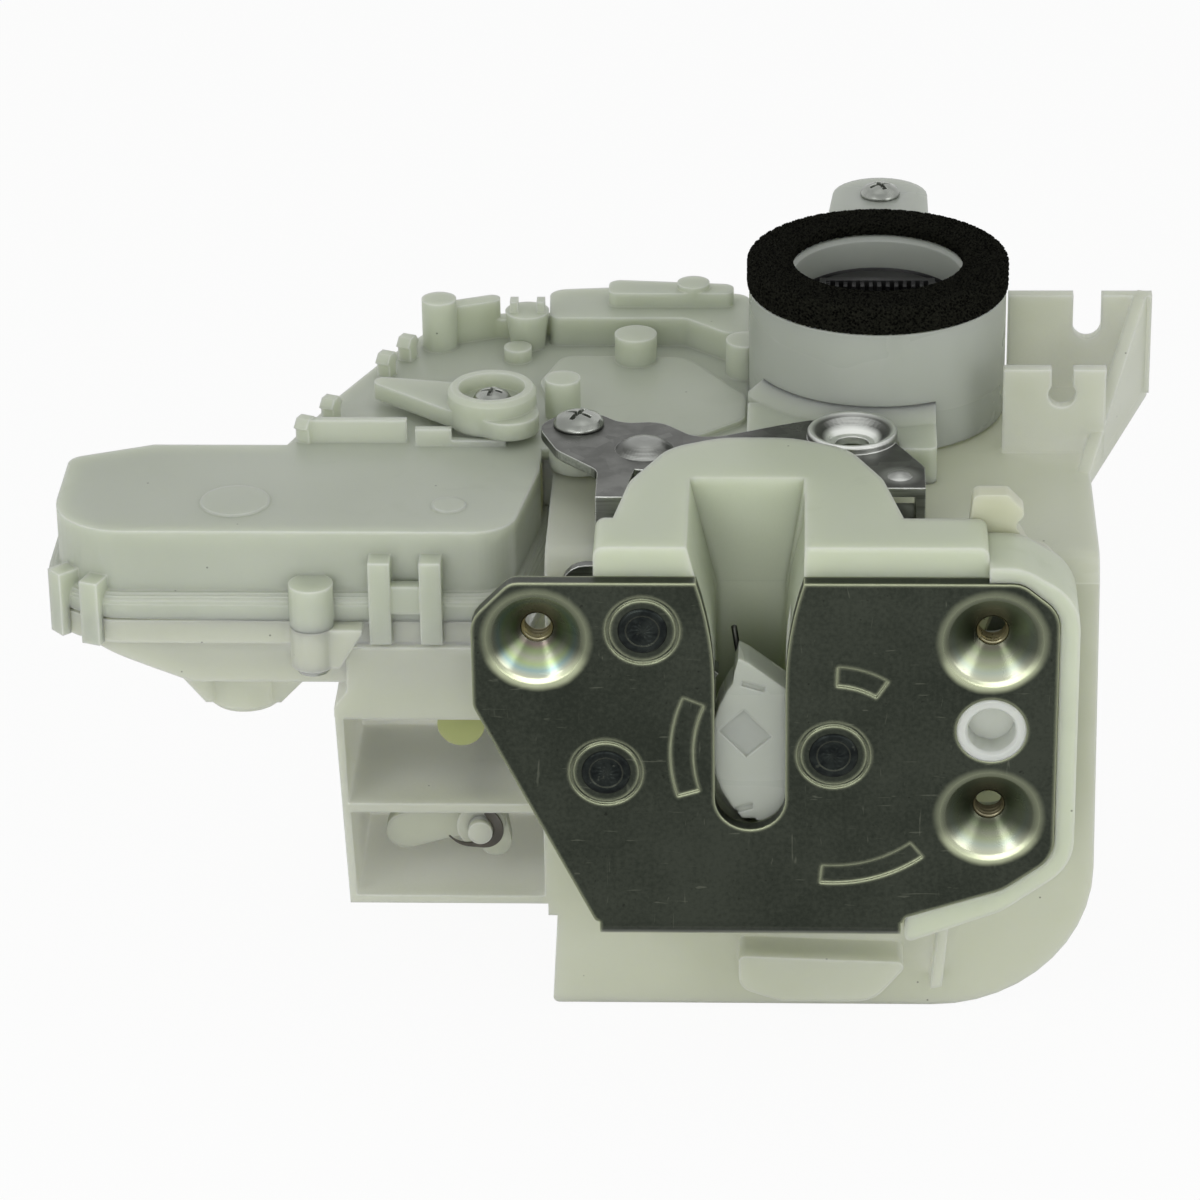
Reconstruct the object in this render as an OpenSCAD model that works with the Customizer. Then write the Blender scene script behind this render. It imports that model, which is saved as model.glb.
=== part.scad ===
// Car door latch with its power lock module, drawn with the claw open.
// X points up in the car, Y into the door, Z to the inside of the car.
// The origin is at the bottom arc of the striker slot, on the plate's front face.

/* [Latch plate] */
// Thickness of the steel face plate
plate_t = 2.6; // [2:0.1:3.2]
// Reach of the plate to the left of the slot
plate_left = 43.7; // [42:0.1:50]
// Reach of the plate to the right of the slot
plate_right = 48.3; // [47:0.1:54]
// Height of the plate above the slot's bottom arc
plate_top = 38; // [36.5:0.1:41]
// Depth of the plate below the slot's bottom arc
plate_bottom = 26; // [24:0.1:27]
// Outside radius of the bend along the lower edge
bend_r = 3.4; // [3.1:0.1:4]
// Half width of the striker slot
slot_half = 5.6; // [5.2:0.1:6]
// Extra half width at the mouth of the slot
slot_flare = 3; // [1.5:0.1:3.6]

/* [Fixing holes] */
// Core radius of the threaded holes
thread_r = 2.5; // [2:0.05:2.6]
// Radius of the pressed cone round each hole
dimple_r = 7.6; // [6.5:0.1:8]
// Depth of the pressed cone
dimple_depth = 4; // [3.2:0.1:4.4]
// Length of the threaded collar behind the cone
collar_len = 4.4; // [3:0.1:5]
// Distance of the left hole from the slot
hole_left = 33.5; // [33:0.1:35]
// Height of the left hole
hole_left_z = 28.3; // [27:0.1:29]
// Distance of the two right holes from the slot
hole_right = 38; // [37.5:0.1:39]
// Height of the upper right hole
hole_high_z = 28; // [27:0.1:28.5]
// Height of the lower right hole
hole_low_z = -3; // [-4:0.1:-2.5]
// Radius of the blind bore in the plastic locator
locator_r = 3.8; // [3:0.1:4.2]
// Outer radius of the plastic locator
bush_r = 5.5; // [5:0.1:6]
// Height of the plastic locator
bush_z = 12.4; // [12:0.1:13]

/* [Claw and pawl] */
// Distance of the claw's pivot from the slot
claw_x = 13.2; // [13:0.1:13.6]
// Height of the claw's pivot
claw_z = 7.9; // [7.6:0.1:8.2]
// Largest radius of the claw, at its beak and hook
claw_r = 21.6; // [21:0.1:21.7]
// Step from the beak down to the flank that the pawl rides on
flank_step = 2.2; // [2:0.1:2.5]
// Half width of the claw's mouth round the striker wire
mouth_half = 4.7; // [4.4:0.1:4.8]
// Thickness of the claw's steel core
core_t = 4; // [3:0.1:4.2]
// Thickness of plastic before and behind the steel core
jacket_wall = 1.2; // [0.8:0.1:1.4]
// Thickness of plastic round the edge of the core
jacket_edge = 1.3; // [1:0.1:1.5]
// Distance of the pawl's pivot to the left of the slot
pawl_x = 22.8; // [22.6:0.1:23.2]
// Height of the pawl's pivot
pawl_z = 4.7; // [4.4:0.1:5]
// Radius of the pivot rivets' shanks
rivet_r = 3; // [2.6:0.1:3.2]
// Radius of the rivets' heads
rivet_head_r = 3.9; // [3.6:0.1:4.2]
// Gap all round a pin in the hole it turns in
pin_gap = 0.05; // [0.03:0.01:0.08]
// Wire diameter of the pivot springs
spring_wire = 1; // [0.7:0.1:1]

/* [Latch housing] */
// Height of the housing's top face
housing_top = 43; // [42:0.1:46]
// Depth of the housing behind the plate's front face
housing_depth = 13.4; // [13.2:0.1:14]
// Wall behind the claw
housing_wall = 2.8; // [2.6:0.1:2.9]
// Reach of the housing to the left of the slot
housing_left = 24.5; // [24:0.1:28]
// Reach of the upper block to the right of the slot
housing_right = 37.2; // [36.8:0.1:41]
// Width of the rim round the right side of the plate
rim_w = 3.2; // [2.4:0.1:3.6]
// Depth of the striker channel at its mouth
channel_depth = 28.6; // [26:0.1:30]
// Wall of the striker channel
channel_wall = 2.2; // [1.8:0.1:2.4]
// Depth of the rounded hump behind the channel
hump_depth = 44; // [40:0.1:46]

/* [Back plate and release lever] */
// Thickness of the back plate
back_t = 1.6; // [1.2:0.1:1.8]
// Height of the back plate's top leg
leg_z = 41; // [40.4:0.1:41.6]
// Thickness of the levers behind the back plate
lever_t = 2; // [1.6:0.1:2.2]
// Gap between parts that slide past each other
slide_gap = 0.4; // [0.3:0.05:0.5]
// Height of the release lever's pivot below the slot's bottom arc
release_drop = 21; // [20.6:0.1:21.4]

/* [Base housing] */
// Place of the base flange behind the plate's front face
flange_y = 19; // [18.8:0.1:20]
// Wall thickness of the base and its cover
wall = 2.2; // [1.8:0.1:2.4]
// Reach of the flange below the slot's bottom arc
flange_drop = 49; // [46:0.1:54]
// Reach of the flange to the right of the slot
flange_right = 56.3; // [54:0.1:60]
// Radius of the flange's lower corner
flange_corner = 26; // [18:0.5:28]
// Height of the base's floor
floor_z = 33; // [32:0.1:34]
// Place of the near cable wall
near_wall_y = 60; // [58:0.1:62]
// Place of the far cable wall
far_wall_y = 87; // [84:0.1:90]
// Height of the cable walls' top edges
cable_top = 49; // [46:0.1:52]
// Radius of the near wall's keyhole
keyhole_r = 2.3; // [2.1:0.1:2.8]
// Width of the far wall's slot
cable_slot_w = 4.8; // [4.4:0.1:6]
// Reach of the open box to the left of the slot
box_left = 67.6; // [64:0.1:70]
// Lowest edge of the open box below the slot's bottom arc
box_drop = 30.2; // [28:0.1:33]
// Depth of the open box
box_depth = 30; // [26:0.5:34]

/* [Module case] */
// Reach of the motor pod to the left of the slot
pod_left = 115; // [113:0.5:118]
// Height of the seam round the motor pod
seam_z = 21; // [20.5:0.1:22]
// Height of the cover's top face
cover_z = 36; // [35.6:0.1:37]
// Lowest face of the module's tray
tray_z = 9; // [7:0.1:9.4]
// Rear edge of the module
module_rear = 111; // [110:0.5:116]
// Height of the raised shelf at the rear of the cover
shelf_z = 41.3; // [40:0.1:43]

/* [Connector port] */
// Distance of the port's centre to the right of the slot
port_x = 20.7; // [20:0.1:21]
// Depth of the port's centre behind the plate
port_y = 80.2; // [79.6:0.1:81]
// Outer radius of the port's tube
port_r = 21.6; // [20.6:0.1:22]
// Inner radius of the port's tube at its rim
port_bore_r = 14; // [13:0.1:15]
// Height of the tube's rim
port_top = 57.6; // [56:0.1:60]
// Thickness of the foam gasket
foam_t = 5.3; // [4:0.1:6.5]
// Width of the foam beyond the tube's rim
foam_proud = 2.4; // [1:0.1:3]
// Teeth in the connector's comb
comb_teeth = 6; // [4:1:8]

/* [Lock drive] */
// Distance of the wheel's axle to the left of the slot
wheel_x = 83.5; // [83:0.1:84]
// Depth of the wheel's axle
wheel_y = 34; // [33.6:0.1:34.4]
// Teeth of the worm wheel
wheel_teeth = 16; // [14:1:16]
// Pitch radius of the worm
worm_r = 4; // [3.8:0.1:4.2]
// Radius of the motor's case
motor_r = 7.5; // [7:0.1:7.7]
// Length of the motor's case
motor_len = 25; // [22:0.5:26]
// Teeth of the pinion on the wheel
pinion_teeth = 12; // [11:1:13]
// Distance of the lock lever's pivot to the left of the slot
lock_x = 43.6; // [43:0.1:44]
// Depth of the lock lever's pivot behind the plate
lock_y = 63.5; // [63:0.1:64]
// Length of the lock lever's arm
lock_arm = 20.8; // [18:0.1:22]
// Length of the crank that the slide turns
crank_len = 10; // [9.5:0.1:10.5]
// Turn of the lock lever from unlocked to locked
lock_travel = 40; // [30:1:40]

/* [Inner release lever] */
// Distance of the inner lever's pivot to the left of the slot
inner_x = 44.5; // [44:0.1:46]
// Height of the inner lever's pivot
inner_z = -17.6; // [-18:0.1:-17.5]
// Length of the inner lever's arm
inner_arm = 13; // [11:0.1:13.4]

/* [Hidden] */
$fn = 64;

eps = 0.01;
claw_at = [claw_x, claw_z];
pawl_at = [-pawl_x, pawl_z];
flank_r = claw_r - flank_step;
release_at = [0, -release_drop];
inner_at = [-inner_x, inner_z];
wheel_at = [-wheel_x, wheel_y];
port_at = [port_x, port_y];
gear_module = 1;
lock_at = [-lock_x, lock_y];

// Layers behind the plate, front to back
claw_y = plate_t + slide_gap;
core_y = claw_y + jacket_wall;
claw_back = core_y + core_t + jacket_wall;
pocket_y = housing_depth - housing_wall;
back_y = housing_depth;
lever_y = back_y + back_t + slide_gap;
head_t = 1.2;

// Closing turn of the claw, and the open angle of its beak, hook and catch
claw_turn = 88;
beak_a = 134;
catch_a = 66;
nose_a = 150.6;

function unit(v) = v/norm(v);
function turn2(v, a) = [v[0]*cos(a) - v[1]*sin(a), v[0]*sin(a) + v[1]*cos(a)];
function polar(c, r, a) = [c[0] + r*cos(a), c[1] + r*sin(a)];
function arc(c, r, a0, a1, n) = [for (i = [0:n]) polar(c, r, a0 + (a1 - a0)*i/n)];
function flat2(p) = [p[0], p[1]];

// Points of a corner at b, rounded with radius r
function corner(a, b, c, r) =
    r <= 0 || abs(unit(a - b)*unit(c - b) + 1) < eps*eps ? [b] :
    let (u = unit(a - b), v = unit(c - b),
         half = acos(max(-1, min(1, u*v)))/2,
         d = r/tan(half),
         m = b + unit(u + v)*r/sin(half),
         p = b + u*d, q = b + v*d,
         a0 = atan2(p[1] - m[1], p[0] - m[0]),
         raw = atan2(q[1] - m[1], q[0] - m[0]) - a0,
         turn = raw > 180 ? raw - 360 : raw < -180 ? raw + 360 : raw,
         n = max(3, ceil(abs(turn)/(r > 5 ? 9 : 18))))
    [for (i = [0:n]) polar(m, r, a0 + turn*i/n)];

// Outline through points [x, y, radius], each corner rounded by its own radius
function rounded(p) = [for (i = [0:len(p) - 1])
    each corner(flat2(p[(i + len(p) - 1) % len(p)]), flat2(p[i]), flat2(p[(i + 1) % len(p)]),
        len(p[i]) > 2 ? p[i][2] : 0)];

// The same outline moved inwards by d; the points run anticlockwise
function inset(p, d) = [for (i = [0:len(p) - 1])
    let (a = flat2(p[(i + len(p) - 1) % len(p)]), b = flat2(p[i]),
         c = flat2(p[(i + 1) % len(p)]),
         u = unit(b - a), v = unit(c - b),
         nu = [-u[1], u[0]], nv = [-v[1], v[0]],
         m = nu + nv, k = d/(m*nu),
         r = len(p[i]) > 2 ? p[i][2] : 0,
         left = u[0]*v[1] - u[1]*v[0] > 0)
    [b[0] + m[0]*k, b[1] + m[1]*k, r <= 0 ? 0 : left ? max(0.3, r - d) : r + d]];

// A drawing in X and Z, thick along Y from y0 to y1
module front(y0, y1) {
    translate([0, y1, 0]) rotate([90, 0, 0]) linear_extrude(y1 - y0) children();
}

// A drawing in X and Y, thick along Z from z0 to z1
module plan(z0, z1) {
    translate([0, 0, z0]) linear_extrude(z1 - z0) children();
}

// A drawing in Y and Z, thick along X from x0 to x1
module side(x0, x1) {
    translate([x0, 0, 0]) rotate([90, 0, 90]) linear_extrude(x1 - x0) children();
}

// A profile of [radius, y] turned round an axis along Y at p
module turned_y(p) {
    translate([p[0], 0, p[1]]) rotate([-90, 0, 0]) rotate_extrude() children();
}

// A profile of [radius, z] turned round an upright axis at p
module turned_z(p) {
    translate([p[0], p[1], 0]) rotate_extrude() children();
}

module rod_y(p, r, y0, y1) {
    translate([p[0], y0, p[1]]) rotate([-90, 0, 0]) cylinder(r = r, h = y1 - y0);
}

module rod_z(p, r, z0, z1) {
    translate([p[0], p[1], z0]) cylinder(r = r, h = z1 - z0);
}

module rod_x(y, z, r, x0, x1) {
    translate([x0, y, z]) rotate([0, 90, 0]) cylinder(r = r, h = x1 - x0);
}

module box(x0, x1, y0, y1, z0, z1) {
    translate([x0, y0, z0]) cube([x1 - x0, y1 - y0, z1 - z0]);
}

// Part of a ring, as a flat drawing
module ring_part(c, r0, r1, a0, a1, n = 16) {
    polygon(concat(arc(c, r1, a0, a1, n), arc(c, r0, a1, a0, n)));
}

// A straight bar with round ends, as a flat drawing
module bar(a, b, ra, rb) {
    d = norm(b - a);
    t = atan2(b[1] - a[1], b[0] - a[0]);
    k = acos((ra - rb)/d);
    polygon(concat(arc(a, ra, t + k, t + 360 - k, 14), arc(b, rb, t - k, t + k, 10)));
}

// Half length of the edge bent back from the face plate
lip_half = 24.2;

// Outline of the face plate, anticlockwise from its upper left corner
lip_z = plate_top - 18;
plate_pts = [
    [-plate_left + 6.2, plate_top, 3],
    [-plate_left, plate_top - 6.4, 5],
    [-plate_left, plate_top - 21.6, 3],
    [-24.8, -plate_bottom + bend_r, 1],
    [24.6, -plate_bottom + bend_r, 0.4],
    [24.6, -21.6, 1],
    [plate_right - 8, -16.4, 8],
    [plate_right, -10.5, 6],
    [plate_right, plate_top - 5, 5.5],
    [plate_right - 6, plate_top, 4]];

// Half of the striker slot's edge, widening in a curve from lip_z to the top
function slot_edge(s, grow = 0) = [for (i = [0:6])
    let (t = i/6) [s*(slot_half + grow + (slot_flare - 0.2)*t*t), lip_z + (plate_top - lip_z)*t]];

module slot_shape(grow = 0) {
    polygon(concat(
        arc([0, 0], slot_half + grow, 180, 360, 16),
        slot_edge(1, grow),
        [[slot_half + grow + slot_flare, plate_top + 8], [-slot_half - grow - slot_flare, plate_top + 8]],
        [for (i = [6:-1:0]) slot_edge(-1, grow)[i]]));
}

module dimple(p) {
    reach = dimple_depth + collar_len;
    turned_y(p) polygon([
        [thread_r, reach], [thread_r, dimple_depth + 0.3], [thread_r + 0.6, dimple_depth - 0.2],
        [dimple_r - 0.5, 0.35], [dimple_r + 0.3, 0], [dimple_r + 1, 0], [dimple_r + 1, plate_t],
        [dimple_r + 0.4, plate_t], [thread_r + 2.3, dimple_depth + 1.5],
        [thread_r + 1.9, dimple_depth + 2.2], [thread_r + 1.9, reach]]);
}

module latch_plate() {
    holes = [[-hole_left, hole_left_z], [hole_right, hole_high_z], [hole_right, hole_low_z]];
    color("#8d8f7c") union() {
        difference() {
            front(0, plate_t) polygon(rounded(plate_pts));
            front(-1, plate_t + 1) slot_shape();
            for (p = holes) rod_y(p, dimple_r + 0.6, -1, plate_t + 1);
            rod_y([hole_right, bush_z], bush_r, -1, plate_t + 1);
            for (p = [claw_at, pawl_at, spacer_at]) {
                rod_y(p, rivet_r, -1, plate_t + 1);
                turned_y(p) polygon([[rivet_head_r + 1.3, -1], [rivet_head_r + 1.3, 0.35],
                    [rivet_head_r + 1.9, 0.35], [rivet_head_r + 1.9, -1]]);
            }
            front(-1, 0.4) ring_part(claw_at, claw_r + 0.6, claw_r + 4.2, 157, 197);
            front(-1, 0.4) ring_part(claw_at, claw_r - 1.6, claw_r + 1.6, 265, 308);
            front(-1, 0.4) ring_part(claw_at, 12.2, 15.6, 57, 88);
        }
        for (p = holes) dimple(p);
        // Lower edge bent back into the housing
        side(-lip_half, lip_half) polygon(concat(
            arc([bend_r, -plate_bottom + bend_r], bend_r, 180, 270, 6),
            [[housing_depth - 5, -plate_bottom], [housing_depth - 5, -plate_bottom + plate_t]],
            arc([bend_r, -plate_bottom + bend_r], bend_r - plate_t, 270, 180, 4)));
    }
}

spacer_at = [-16.8, 29.8];

module locator_bush() {
    color("#eeeee6") turned_y([hole_right, bush_z]) polygon([
        [0, 4.6], [locator_r, 4.6], [locator_r, 0.2], [locator_r + 0.4, -0.3], [bush_r - 0.3, -0.3],
        [bush_r, 0], [bush_r, pocket_y], [0, pocket_y]]);
}

// The hump and channel block seen from above
hump_pts = [
    [-housing_left + 2.5, housing_depth - 2], [housing_left, housing_depth - 2],
    [21, 28, 9], [15.4, hump_depth - 4, 9], [6, hump_depth, 12], [-5, hump_depth, 12],
    [-13.5, hump_depth - 4, 9], [-19.5, 27, 9]];

// The housing's front view: its upper block, its rim and its lower body
housing_pts = [
    [-housing_left, housing_top, 1.6], [-housing_left, 22],
    [-housing_left - 7, 14, 4], [-housing_left - 6, -2, 6], [-24, -plate_bottom + bend_r + 0.2, 2],
    [24.8, -plate_bottom + bend_r + 0.2, 0], [24.8, -26.4, 2],
    [plate_right - 8, -20.4, 10], [plate_right + rim_w, -12, 9],
    [plate_right + rim_w, plate_top - 3, 9], [plate_right - 6, plate_top + 2.6, 8],
    [housing_right, plate_top + 2.6], [housing_right, housing_top, 1.6]];

module claw_pocket() {
    // Room for the claw all the way round its turn, and for the pawl
    front(plate_t, pocket_y) {
        difference() {
            translate(claw_at) circle(r = claw_r + 0.8);
            translate([claw_x + 15.6, claw_z - 34]) square([30, 34]);
        }
        translate(claw_at) circle(r = 12.2);
        polygon([[-7, 15], [-13, 27.5], [-20, 24], [-30, 12], [-30.6, -1], [-24, -3.6], [-12, -3]]);
        ring_part(pawl_at, 1, 23.9, 16, 68);
    }
}

module latch_housing() {
    color("#ecebdc") difference() {
        union() {
            front(plate_t, housing_depth) polygon(rounded(housing_pts));
            // Rim that wraps the plate's right side
            front(0.3, plate_t + 1) polygon(rounded([
                [housing_right, plate_top - 8], [24.8, -20], [24.8, -26.4, 1],
                [plate_right - 8, -20.4, 10], [plate_right + rim_w, -12, 9],
                [plate_right + rim_w, plate_top - 3, 9], [plate_right - 6, plate_top + 2.6, 8],
                [housing_right, plate_top + 2.6]]));
            plan(24, housing_top) polygon(rounded(hump_pts));
            // Block round the lower end of the striker channel
            box(-slot_half - channel_wall, slot_half + channel_wall, housing_depth - 1,
                channel_depth + channel_wall, -slot_half - channel_wall - 0.6, 30);
        }
        // Recess for the plate
        front(-1, plate_t) polygon(rounded(inset(plate_pts, -0.12)));
        claw_pocket();
        // Striker channel, deeper at its mouth than behind the claw
        front(-1, channel_depth - 6) slot_shape();
        side(-slot_half, slot_half) polygon([[10, 4], [channel_depth - 7, 4],
            [channel_depth, housing_top + 1], [10, housing_top + 1]]);
        intersection() {
            front(-1, channel_depth + 1) polygon([[-slot_half, lip_z + 6], [slot_half, lip_z + 6],
                [slot_half + slot_flare, housing_top + 1], [-slot_half - slot_flare - 1.6, housing_top + 1]]);
            side(-20, 20) polygon([[-1, lip_z], [channel_depth - 4, lip_z],
                [channel_depth, housing_top + 1], [-1, housing_top + 1]]);
        }
        // Seats for the threaded collars, the locator and the rivets
        for (p = [[-hole_left, hole_left_z], [hole_right, hole_high_z], [hole_right, hole_low_z]])
            turned_y(p) polygon([[0, -1], [dimple_r + 1.1, -1], [dimple_r + 1.1, plate_t + 0.1],
                [thread_r + 2.2, dimple_depth + 2], [thread_r + 2.2, housing_depth + 1],
                [0, housing_depth + 1]]);
        rod_y([hole_right, bush_z], bush_r, -1, pocket_y);
        for (p = [claw_at, pawl_at]) rod_y(p, rivet_r, 0, housing_depth + 1);
        rod_y(spacer_at, rivet_r, 0, stud_end);
        // Cups for the springs, and the window for the pawl's peg
        rod_y(claw_at, coil_r + 1, pocket_y - 1, housing_depth + 1);
        rod_y(pawl_at, coil_r + 1, pocket_y - 1, housing_depth + 1);
        front(pocket_y - 1, housing_depth + 1)
            peg_window();
        // Seat of the rubber bumper below the channel
        box(-4, 4, pocket_y + 1, channel_depth - 6, -slot_half - bumper_t, 0);
    }
}

coil_r = rivet_r + 1 + spring_wire;
stud_end = 11;
peg_reach = 10.4;
peg_r = 1.8;
peg_a = 24;
bumper_t = 2;

// Window that the pawl's peg moves in
module peg_window() {
    ring_part(pawl_at, peg_reach - peg_r - 0.5, peg_reach + peg_r + 0.5, peg_a - 20, peg_a + 22);
}

module striker_bumper() {
    color("#23231f") difference() {
        box(-4, 4, pocket_y + 1, channel_depth - 6, -slot_half - bumper_t, -3.4);
        rod_y([0, 0], slot_half, 0, channel_depth);
    }
}

// Claw outline in its open place. The mouth lies beside the pivot.
mouth_a = beak_a + 8;
mouth_n = -3.3 - mouth_half;
mouth_t = claw_x - 2;
// A point t outwards along the mouth and n across it
function in_mouth(t, n) = claw_at + turn2([t, n], mouth_a);
function claw_path(s = 0) = concat(
    [polar(claw_at, claw_r - s, beak_a + 1.2*s)],
    [polar(claw_at, flank_r - s + 1, beak_a + 6), polar(claw_at, flank_r - s, beak_a + 11)],
    arc(claw_at, flank_r - s, beak_a + 16, 222, 8),
    arc(claw_at, flank_r - s - 1.4, 226, 236 - 3*s, 2),
    arc(claw_at, 9.6 - s, 262, 406, 12),
    [polar(claw_at, claw_r - 7 - s, catch_a - 6), polar(claw_at, claw_r - 5.4, catch_a + s*0.2),
     polar(claw_at, claw_r - 0.4*s, catch_a + 0.4 + s*0.2)],
    arc(claw_at, claw_r - s, catch_a + 1.5 + 3*s, 101 - 3.2*s, 6),
    [in_mouth(claw_r - 5 - 2.2*s, mouth_n - mouth_half - s)],
    [for (i = [0:8]) in_mouth(mouth_t, mouth_n) + turn2(
        polar([0, 0], mouth_half + s, -90 - 180*i/8), mouth_a)],
    [in_mouth(claw_r - 2 - 1.5*s, mouth_n + mouth_half + s)]);

module claw_core() {
    color("#8a8d8c") difference() {
        front(core_y, core_y + core_t) polygon(claw_path(jacket_edge));
        rod_y(claw_at, rivet_r + 1, 0, 30);
    }
}

module claw_jacket() {
    color("#e9e9df") difference() {
        front(claw_y, claw_back) polygon(claw_path());
        difference() {
            front(core_y, core_y + core_t) polygon(claw_path(jacket_edge));
            rod_y(claw_at, rivet_r + 1, 0, 30);
        }
        rod_y(claw_at, rivet_r + pin_gap, 0, 30);
        // Sunk slots and diamond that the moulding tool leaves in the face
        front(0, claw_y + 0.5) {
            polygon([[-1.4, 18.6], [2.2, 17.5], [2.4, 18.4], [-1.2, 19.5]]);
            polygon([[-1, 14.4], [3.4, 9.6], [-0.6, 5.9], [-5, 10.6]]);
            polygon([[-2.4, -3.2], [0.4, -2.4], [0.4, -3.4], [-2.2, -4.2]]);
        }
    }
}

// A closely wound coil round an axis along Y, with legs drawn by its owner
module coil(p, y0, turns) {
    for (i = [0:turns - 1])
        turned_y(p) translate([coil_r - spring_wire/2, y0 + spring_wire*(0.5 + 0.94*i)])
            circle(r = spring_wire/2, $fn = 24);
}

module claw_spring() {
    y0 = claw_back + 0.1;
    color("#2c2c2c") union() {
        coil(claw_at, y0, 3);
        // Leg that runs up behind the beak and shows in the channel
        leg(claw_at, spring_tip, y0);
    }
}

// Straight leg of a spring, leaving the coil on a tangent
module leg(p, tip, y0) {
    reach = coil_r - spring_wire/2;
    d = tip - p;
    a = atan2(d[1], d[0]) + acos(reach/norm(d));
    start = polar(p, reach, a);
    run = tip - start;
    translate([start[0], y0 + spring_wire/2, start[1]])
        rotate([0, 90 - atan2(run[1], run[0]), 0])
        cylinder(r = spring_wire/2, h = norm(run), $fn = 24);
}

spring_tip = [-3.6, 26];

module pawl_outline() {
    polygon(concat(
        [polar(claw_at, claw_r + 0.35, nose_a - 4.6), polar(claw_at, claw_r + 0.35, nose_a),
         polar(claw_at, claw_r + 2.4, nose_a + 1.4), polar(claw_at, claw_r + 2.6, nose_a + 8),
         polar(claw_at, claw_r + 3, nose_a + 18)],
        arc(pawl_at, 6.4, -40, -235, 14),
        [polar(claw_at, claw_r + 9.4, nose_a + 6), polar(claw_at, claw_r + 4.2, nose_a - 5)]));
}

module pawl() {
    color("#8a8d8c") difference() {
        union() {
            front(core_y, core_y + core_t) pawl_outline();
            rod_y(polar(pawl_at, peg_reach, peg_a), peg_r, core_y + core_t - 1, lever_y + lever_t);
        }
        rod_y(pawl_at, rivet_r + pin_gap, 0, 30);
    }
}

module pawl_lifter() {
    color("#9a9c98") difference() {
        front(lever_y, lever_y + lever_t) {
            bar(pawl_at, push_at, 6, push_r);
            bar(pawl_at, polar(pawl_at, peg_reach, peg_a), 6, peg_r + 2);
        }
        rod_y(pawl_at, rivet_r + pin_gap, 0, 30);
        rod_y(polar(pawl_at, peg_reach, peg_a), peg_r, 0, 30);
    }
}

// Direction from the pawl's pivot to the release lever's pivot
lifter_a = atan2(release_at[1] - pawl_at[1], release_at[0] - pawl_at[0]);
push_r = 2;
push_at = polar(pawl_at, 16, lifter_a);
// The release lever's nose stands behind the lifter's end, a small gap away
nose_r = 2.4;
push_gap = 0.6;
nose_at = push_at - (push_r + nose_r + push_gap)*[-sin(lifter_a), cos(lifter_a)];

module pawl_spring() {
    color("#2c2c2c") coil(pawl_at, core_y + core_t + 0.3, 4);
}

module rivet(p, y_end) {
    color("#6f7069") turned_y(p) polygon([[0, -head_y], [rivet_head_r - 0.4, -head_y],
        [rivet_head_r, 0], [rivet_r, 0], [rivet_r, y_end], [rivet_r + 1, y_end],
        [rivet_r + 0.6, y_end + head_t], [0, y_end + head_t]]);
}

head_y = 0.25;

module claw_pivot() {
    rivet(claw_at, back_y + back_t);
}

module pawl_pivot() {
    // Longer, because the lifter turns on its tail
    rivet(pawl_at, lever_y + lever_t + slide_gap/2);
}

// Blind stud that only clamps the plate to the housing
module spacer_rivet() {
    color("#6f7069") turned_y(spacer_at) polygon([[0, -head_y], [rivet_head_r - 0.4, -head_y],
        [rivet_head_r, 0], [rivet_r, 0], [rivet_r, stud_end - 0.4], [rivet_r - 0.4, stud_end],
        [0, stud_end]]);
}

// Ear of the back plate's top leg, and its screw
ear_at = [-28.7, 53.4];
ear_screw_r = 2.1;

// Pressed dome and dished ring of the top leg
dome_at = [-17.6, 43.8];
dome_r = 4.8;
ring_at = [16.3, 48.9];
ring_r = 7.4;
ring_bore_r = 2.8;

// Half of a flat dome of radius r and height h on the level z, from its rim to a small flat top
function dome_edge(r, h, z) =
    let (big = (r*r + h*h)/(2*h), a = acos(r/big))
    concat(arc([0, z + h - big], big, a, 83, 6), [[0, z + h - big + big*sin(83)]]);

module pressed_dome(p, r, h) {
    turned_z(p) polygon(concat([[0, leg_z - 1], [r, leg_z - 1]], dome_edge(r, h, leg_z)));
}

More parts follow.
